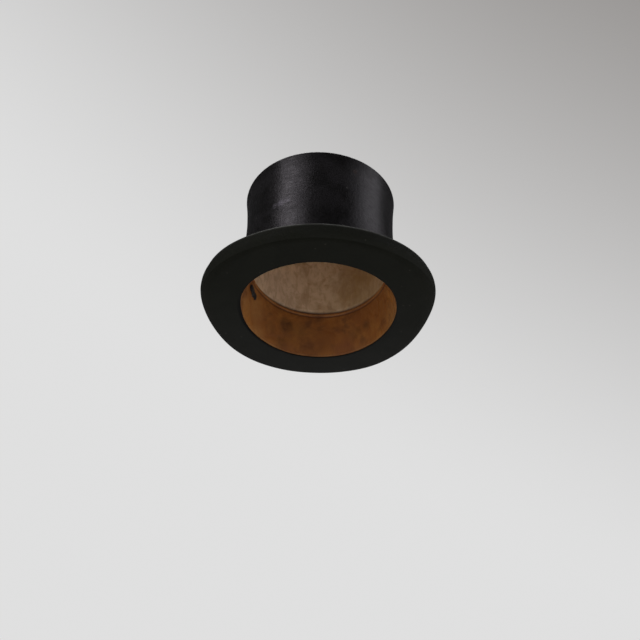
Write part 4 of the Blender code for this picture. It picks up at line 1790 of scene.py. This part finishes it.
    def build_bow(self) -> None:
        """Builds the small black bow over the lapped join."""
        bow = RibbonBow(
            self.lines, self.wardrobe, self.bow_finish, angle=self.lap_angle,
            height=self.bow_height, face=self.face, inwards=True, reach=11.8 * MM, width=8 * MM,
            knot_width=4.6 * MM, knot_height=7.6 * MM, seat=0.45 * MM, depth=1.3 * MM, knot_depth=1.7 * MM,
            tilt=self.bow_tilt, ribbon=0.25 * MM, pinch=0.75, taper=0.55, pleats=1.5)
        bow.build("sweatband_bow", "sweatband_bow_front", "sweatband_bow_back", "sweatband_knot")

    def build(self) -> None:
        """Builds the leather, then what is sewn to it."""
        self.build_leather()
        self.build_reed()
        self.build_seams()
        self.build_bow()


@dataclass
class Lining(SubAssembly):
    """The cream silk inside the crown: a gathered wall and an oval under the tip."""

    finish: Finish
    stations: int = 460
    tip_stations: int = 280
    rows: int = 64
    back_rows: int = 6
    disc_rows: int = 22
    gathers: Wave = Wave(3.2 * MM, 4 * MM, 2)
    patches: Wave = Wave(1, 40 * MM, 6)
    folds: Wave = Wave(1.2 * MM, 18 * MM, 8)
    gather_length: float = 24 * MM
    free: float = 6 * MM
    crack_shadow_width: float = 1.4 * MM
    crack_shadow_rows: int = 22
    crack_shadow_reach: float = 8 * MM
    sag: float = 1.2 * MM
    sag_unevenness: Wave = Wave(0.6 * MM, 20 * MM, 11)
    pucker: float = 0.5 * MM
    puckers: int = 70

    def gather(self, angle: float, height: float) -> float:
        """How far the silk stands inwards from the wall.

        Args:
            angle: Angle round the hat.
            height: Height at the front of the hat.

        Returns:
            The distance, from 0 up.
        """
        lines = self.lines
        base = lines.sweatband_height
        place = lines.oval(angle, 0)
        foot = 1 - smooth(height, base, base + self.gather_length)
        head = smooth(height, lines.tip_rim_foot - self.gather_length, lines.tip_lining_underside)
        narrow = Vector((place.x, place.y, height * self.gathers.size / self.gather_length))
        drawn = self.gathers.above(narrow) * max(foot, 0.6 * head) * self.patches.above(place)
        folds = self.folds.above(Vector((place.x, place.y, 0.4 * height)))
        return (drawn + folds) * smooth(height, base, base + self.free)

    def point(self, height: float, shown: bool, angle: float) -> Vector:
        """A point of the wall's silk, on its shown or its hidden side."""
        depth = self.lines.silk + self.gather(angle, height) if shown else 0
        return self.lines.wall_point(angle, self.lines.lining_back(height) - depth, height)

    def crack_shadow(self, angle: float, height: float) -> float:
        """Share of painted shadow on the silk: 1 in the crack behind the leather, and 0 well above it."""
        crack = self.lines.sweatband_height + 0.6 * (self.lines.sweatband_gap(angle) + self.lines.leather)
        return 1 - smooth(height, crack, crack + 2 * self.crack_shadow_width)

    def build_wall(self) -> None:
        """Builds the gathered silk on the wall."""
        foot, top = self.lines.lining_hem, self.lines.tip_lining_underside - self.lines.clearance
        edge = self.lines.sweatband_height
        # Close rows above the leather's edge carry the painted shadow.
        close = steps(edge, edge + self.crack_shadow_reach, self.crack_shadow_rows)[:-1]
        shown = sorted(steps(foot, top, self.rows) + close)
        heights = shown + steps(top, foot, self.back_rows)
        loops = [partial(self.point, height, row < len(shown)) for row, height in enumerate(heights)]
        mesh = Ring(loops, self.stations, wear=lambda row, angle: self.crack_shadow(angle, heights[row])).mesh()
        piece = self.wardrobe.dress("side_lining_silk", mesh, self.finish, "side_lining")

    def tip_point(self, edge: float, share: float, height: float, angle: float) -> Vector:
        """Finds a point of the oval under the tip.

        Args:
            edge: Offset of its edge.
            share: Share of the way out to it.
            height: Height it has at the edge.
            angle: Angle round the hat.

        Returns:
            The point.
        """
        point = self.lines.oval(angle, edge) * share
        hang = self.sag * (1 - share**2) + share * self.sag_unevenness.above(point)
        hang += self.pucker * share**6 * (1 + math.cos(self.puckers * angle)) / 2
        return point + Vector((0, 0, height - hang * smooth(1 - share, 0, 0.03)))

    def build_tip(self) -> None:
        """Builds the oval of silk under the tip, which sags a little and puckers at its edge."""
        lines = self.lines
        edge = lines.lining_back(lines.tip_rim_foot)
        low, high = lines.tip_lining_underside, lines.tip_lining_underside + lines.silk
        shares = steps(0, 1, self.disc_rows)
        loops = [partial(self.tip_point, edge, share, low) for share in shares]
        loops += [partial(self.tip_point, edge, share, high) for share in reversed(shares)]
        mesh = Ring(loops, self.tip_stations, closed=False).mesh()
        piece = self.wardrobe.dress("tip_lining_silk", mesh, self.finish, "tip_lining")

    def build(self) -> None:
        """Builds the wall's silk, then the tip's."""
        self.build_wall()
        self.build_tip()


@dataclass(frozen=True)
class Softbox:
    """A large soft lamp: where it stands round the hat, how big and how strong it is."""

    name: str
    azimuth: float
    height: float
    distance: float
    width: float
    tall: float
    power: float
    colour: Colour = (1, 1, 1)

    def build(self, target: Vector) -> None:
        """Adds the lamp.

        Args:
            target: Point that it faces.
        """
        lamp = bpy.data.lights.new(self.name, "AREA")
        lamp.shape = "RECTANGLE"
        lamp.size, lamp.size_y = self.width, self.tall
        lamp.energy = self.power
        lamp.color = self.colour
        made = add_object(self.name, lamp)
        turn = math.radians(self.azimuth)
        made.location = (self.distance * math.sin(turn), -self.distance * math.cos(turn), self.height)
        made.rotation_euler = (target - made.location).to_track_quat("-Z", "Y").to_euler()


COOL, COLD, WARM = (1.0, 0.98, 1.0), (0.96, 0.96, 1.0), (1.0, 0.97, 0.93)


@dataclass
class Studio:
    """The camera, the soft lamps, the pale surroundings and the floor."""

    view_distance: float = 1.2
    view_rise: float = math.radians(30.28)
    hat_yaw: float = math.radians(-1.35)
    hat_roll: float = math.radians(0.74)
    focal_pixels: float = 1128.9
    image_pixels: float = 640
    hat_pixel: tuple[float, float] = (318.17, 313.48)
    sensor: float = 36.0
    lit_height: float = 0.06
    floor_height: float = -0.95
    floor_size: float = 60.0
    floor_colour: Colour = (0.8, 0.8, 0.8)
    floor_shade: float = 0.96
    floor_glow: float = 0.84
    ambient: float = 0.45
    dark_room: float = 0.02
    low_backdrop: Colour = (0.743, 0.743, 0.743)
    high_backdrop: Colour = (0.215, 0.2, 0.19)
    backdrop_range: tuple[float, float] = (0.38, 1.0)
    backdrop_slope: float = 0.5
    lamps: list[Softbox] = field(default_factory=lambda: [
        Softbox("left_softbox", -57, 1.0, 1.7, 0.5, 1.6, 7.2, COOL),
        Softbox("left_middle", -42, 1.0, 1.75, 0.5, 1.6, 5, COOL),
        Softbox("left_fill", -25, 0.8, 1.8, 0.4, 1.6, 2.6, COOL),
        Softbox("right_softbox", 92, 0.8, 1.7, 0.9, 1.6, 5.5, COLD),
        Softbox("right_fill", 66, 0.5, 1.8, 0.5, 1.4, 1.5, COLD),
        Softbox("top_softbox", 180, 2.0, 1.1, 1.2, 1.2, 25),
        Softbox("low_left", -50, -0.45, 1.7, 0.8, 0.8, 3.4, WARM),
        Softbox("low_right", 88, -0.45, 1.7, 0.8, 0.8, 4.4, WARM),
    ])

    def build_camera(self) -> None:
        """Adds the camera where the picture was taken from: in front of the hat and below it."""
        data = bpy.data.cameras.new("view")
        data.sensor_width = self.sensor
        data.lens = self.sensor * self.focal_pixels / self.image_pixels
        data.shift_x = (self.image_pixels / 2 - self.hat_pixel[0]) / self.image_pixels
        data.shift_y = (self.hat_pixel[1] - self.image_pixels / 2) / self.image_pixels
        data.clip_start, data.clip_end = 0.05, 60
        turned = Matrix.Rotation(self.hat_roll, 3, "Y") @ Matrix.Rotation(self.hat_yaw, 3, "Z")
        sine, cosine = math.sin(self.view_rise), math.cos(self.view_rise)
        ahead, above = Vector((0, cosine, sine)), Vector((0, -sine, cosine))
        axes = turned.transposed() @ Matrix((ahead.cross(above), above, -ahead)).transposed()
        camera = add_object("view", data)
        camera.matrix_world = Matrix.Translation(axes.col[2] * self.view_distance) @ axes.to_4x4()
        bpy.context.scene.camera = camera

    def build_world(self) -> None:
        """Surrounds the hat with soft light, and shows the camera a pale backdrop, darker higher up."""
        world = bpy.data.worlds.new("studio")
        world.use_nodes = True
        bpy.context.scene.world = world
        graph = Graph(world.node_tree)
        way = graph.split(graph.node("ShaderNodeTexCoord").outputs["Generated"])
        slope = graph.plus(way[2], graph.times(way[0], self.backdrop_slope))
        backdrop = graph.mix(graph.ease(slope, *self.backdrop_range), self.low_backdrop, self.high_backdrop)
        ray = graph.node("ShaderNodeLightPath").outputs
        mirrored = graph.math("MAXIMUM", ray["Is Glossy Ray"], ray["Is Transmission Ray"])
        surround = graph.mix(mirrored, (self.ambient,) * 3, (self.dark_room,) * 3)
        shown = graph.mix(ray["Is Camera Ray"], surround, backdrop)
        graph.feed(world.node_tree.nodes["Background"].inputs["Color"], shown)

    def build_floor(self) -> None:
        """Lays the pale floor well below the hat; the camera sees it partly in the backdrop's tone."""
        bm = bmesh.new()
        bmesh.ops.create_grid(bm, x_segments=2, y_segments=2, size=self.floor_size)
        bmesh.ops.translate(bm, vec=(0, 0, self.floor_height), verts=bm.verts)
        mesh = bpy.data.meshes.new("floor")
        bm.to_mesh(mesh)
        bm.free()
        material = bpy.data.materials.new("pale_floor")
        material.use_nodes = True
        graph = Graph(material.node_tree)
        shader = material.node_tree.nodes["Principled BSDF"]
        shader.inputs["Roughness"].default_value = 0.9
        shader.inputs["Specular IOR Level"].default_value = 0.1
        cloudy = graph.noise(graph.node("ShaderNodeTexCoord").outputs["Object"], 3, 2)
        darker = tuple(self.floor_shade * part for part in self.floor_colour)
        graph.feed(shader.inputs["Base Color"], graph.mix(cloudy, darker, self.floor_colour))
        seen = graph.node("ShaderNodeEmission", {"Color": (*self.low_backdrop, 1), "Strength": 1.0})
        share = graph.times(graph.node("ShaderNodeLightPath").outputs["Is Camera Ray"], self.floor_glow)
        blend = graph.node("ShaderNodeMixShader", {0: share, 1: shader.outputs[0], 2: seen.outputs[0]})
        graph.feed(material.node_tree.nodes["Material Output"].inputs["Surface"], blend.outputs[0])
        mesh.materials.append(material)
        floor = add_object("floor", mesh)

    def build(self) -> None:
        """Builds the whole studio."""
        bpy.context.scene.view_settings.view_transform = "Standard"
        self.build_camera()
        self.build_world()
        self.build_floor()
        for lamp in self.lamps:
            lamp.build(Vector((0, 0, self.lit_height)))


def dress_foundation(wardrobe: Wardrobe, finish: Finish) -> None:
    """Gives the hidden stiffened wall, tip board and joint strip their varnished muslin.

    Args:
        wardrobe: Makes the material.
        finish: The muslin's finish.
    """
    for name in ("crown_side_shell", "crown_tip_shell", "joint_strip"):
        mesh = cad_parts[name].data
        mesh.materials.clear()
        mesh.materials.append(wardrobe.material(finish))
        LOG.info("%s: finished as it is", name)


def main() -> None:
    """Builds the hat piece by piece, then the studio around it."""
    logging.basicConfig(level=logging.INFO, format="%(message)s")
    lines = HatLines()
    wardrobe = Wardrobe(Effects(lines))
    plush = dict(slot="black_silk_plush", roughness=0.47, specular=0.5, sheen=0.018, sheen_roughness=0.35,
                 sheen_tint=(0.75, 0.74, 0.85), anisotropy=0.86, gloss_tint=(0.98, 0.92, 1.0))
    crown_plush = SilkPlush("crown_plush", marks_and_highlights=CROWN_SPOTS, dulled=0.36, **plush)
    tip_plush = SilkPlush("tip_plush", nap=Nap.TIP, **plush)
    brim_plush = SilkPlush("brim_plush", **plush)
    wool = WoolCloth("worsted", "black_wool_cloth", roughness=0.85, specular=0.12)
    tape = WoolCloth("reed_tape_cloth", "black_wool_cloth", roughness=0.85, specular=0.12, pitch=0.5 * MM)
    binding = Grosgrain("binding_grosgrain", "black_grosgrain", roughness=0.7, specular=0.13, ribs=1100)
    glossy = dict(slot="black_grosgrain", roughness=0.5, specular=0.45, dark=(0.008, 0.008, 0.0085),
                  rubbed=(0.024, 0.0235, 0.0245))
    band = Grosgrain("band_grosgrain", ribs=700, **glossy)
    bow = Grosgrain("bow_grosgrain", ribs=56, **glossy)
    small_bow = Grosgrain("small_bow_grosgrain", ribs=30, **glossy)
    muslin = Stiffener("varnished_muslin", "shellacked_cloth", roughness=0.5)
    cane = Stiffener("split_cane", "cane", roughness=0.55, pale=(0.5, 0.36, 0.18), dark=(0.36, 0.23, 0.1))
    leather = TanLeather("tan_leather", "tan_leather", roughness=0.55, specular=0.35, marks=LEATHER_STAINS)
    thread = Thread("waxed_thread", "tan_leather", roughness=0.6)
    silk = CreamSilk("cream_satin", "cream_silk", roughness=0.48, specular=0.4, sheen=0.1, marks=SILK_TONE_PATCHES)

    dress_foundation(wardrobe, muslin)
    CrownCover(lines, wardrobe, crown_plush, tip_plush).build()
    BrimCover(lines, wardrobe, muslin, brim_plush, wool, binding).build()
    HatBand(lines, wardrobe, band, bow).build()
    Sweatband(lines, wardrobe, leather, cane, tape, thread, small_bow).build()
    Lining(lines, wardrobe, silk).build()
    Studio().build()


if __name__ == "__main__":
    main()
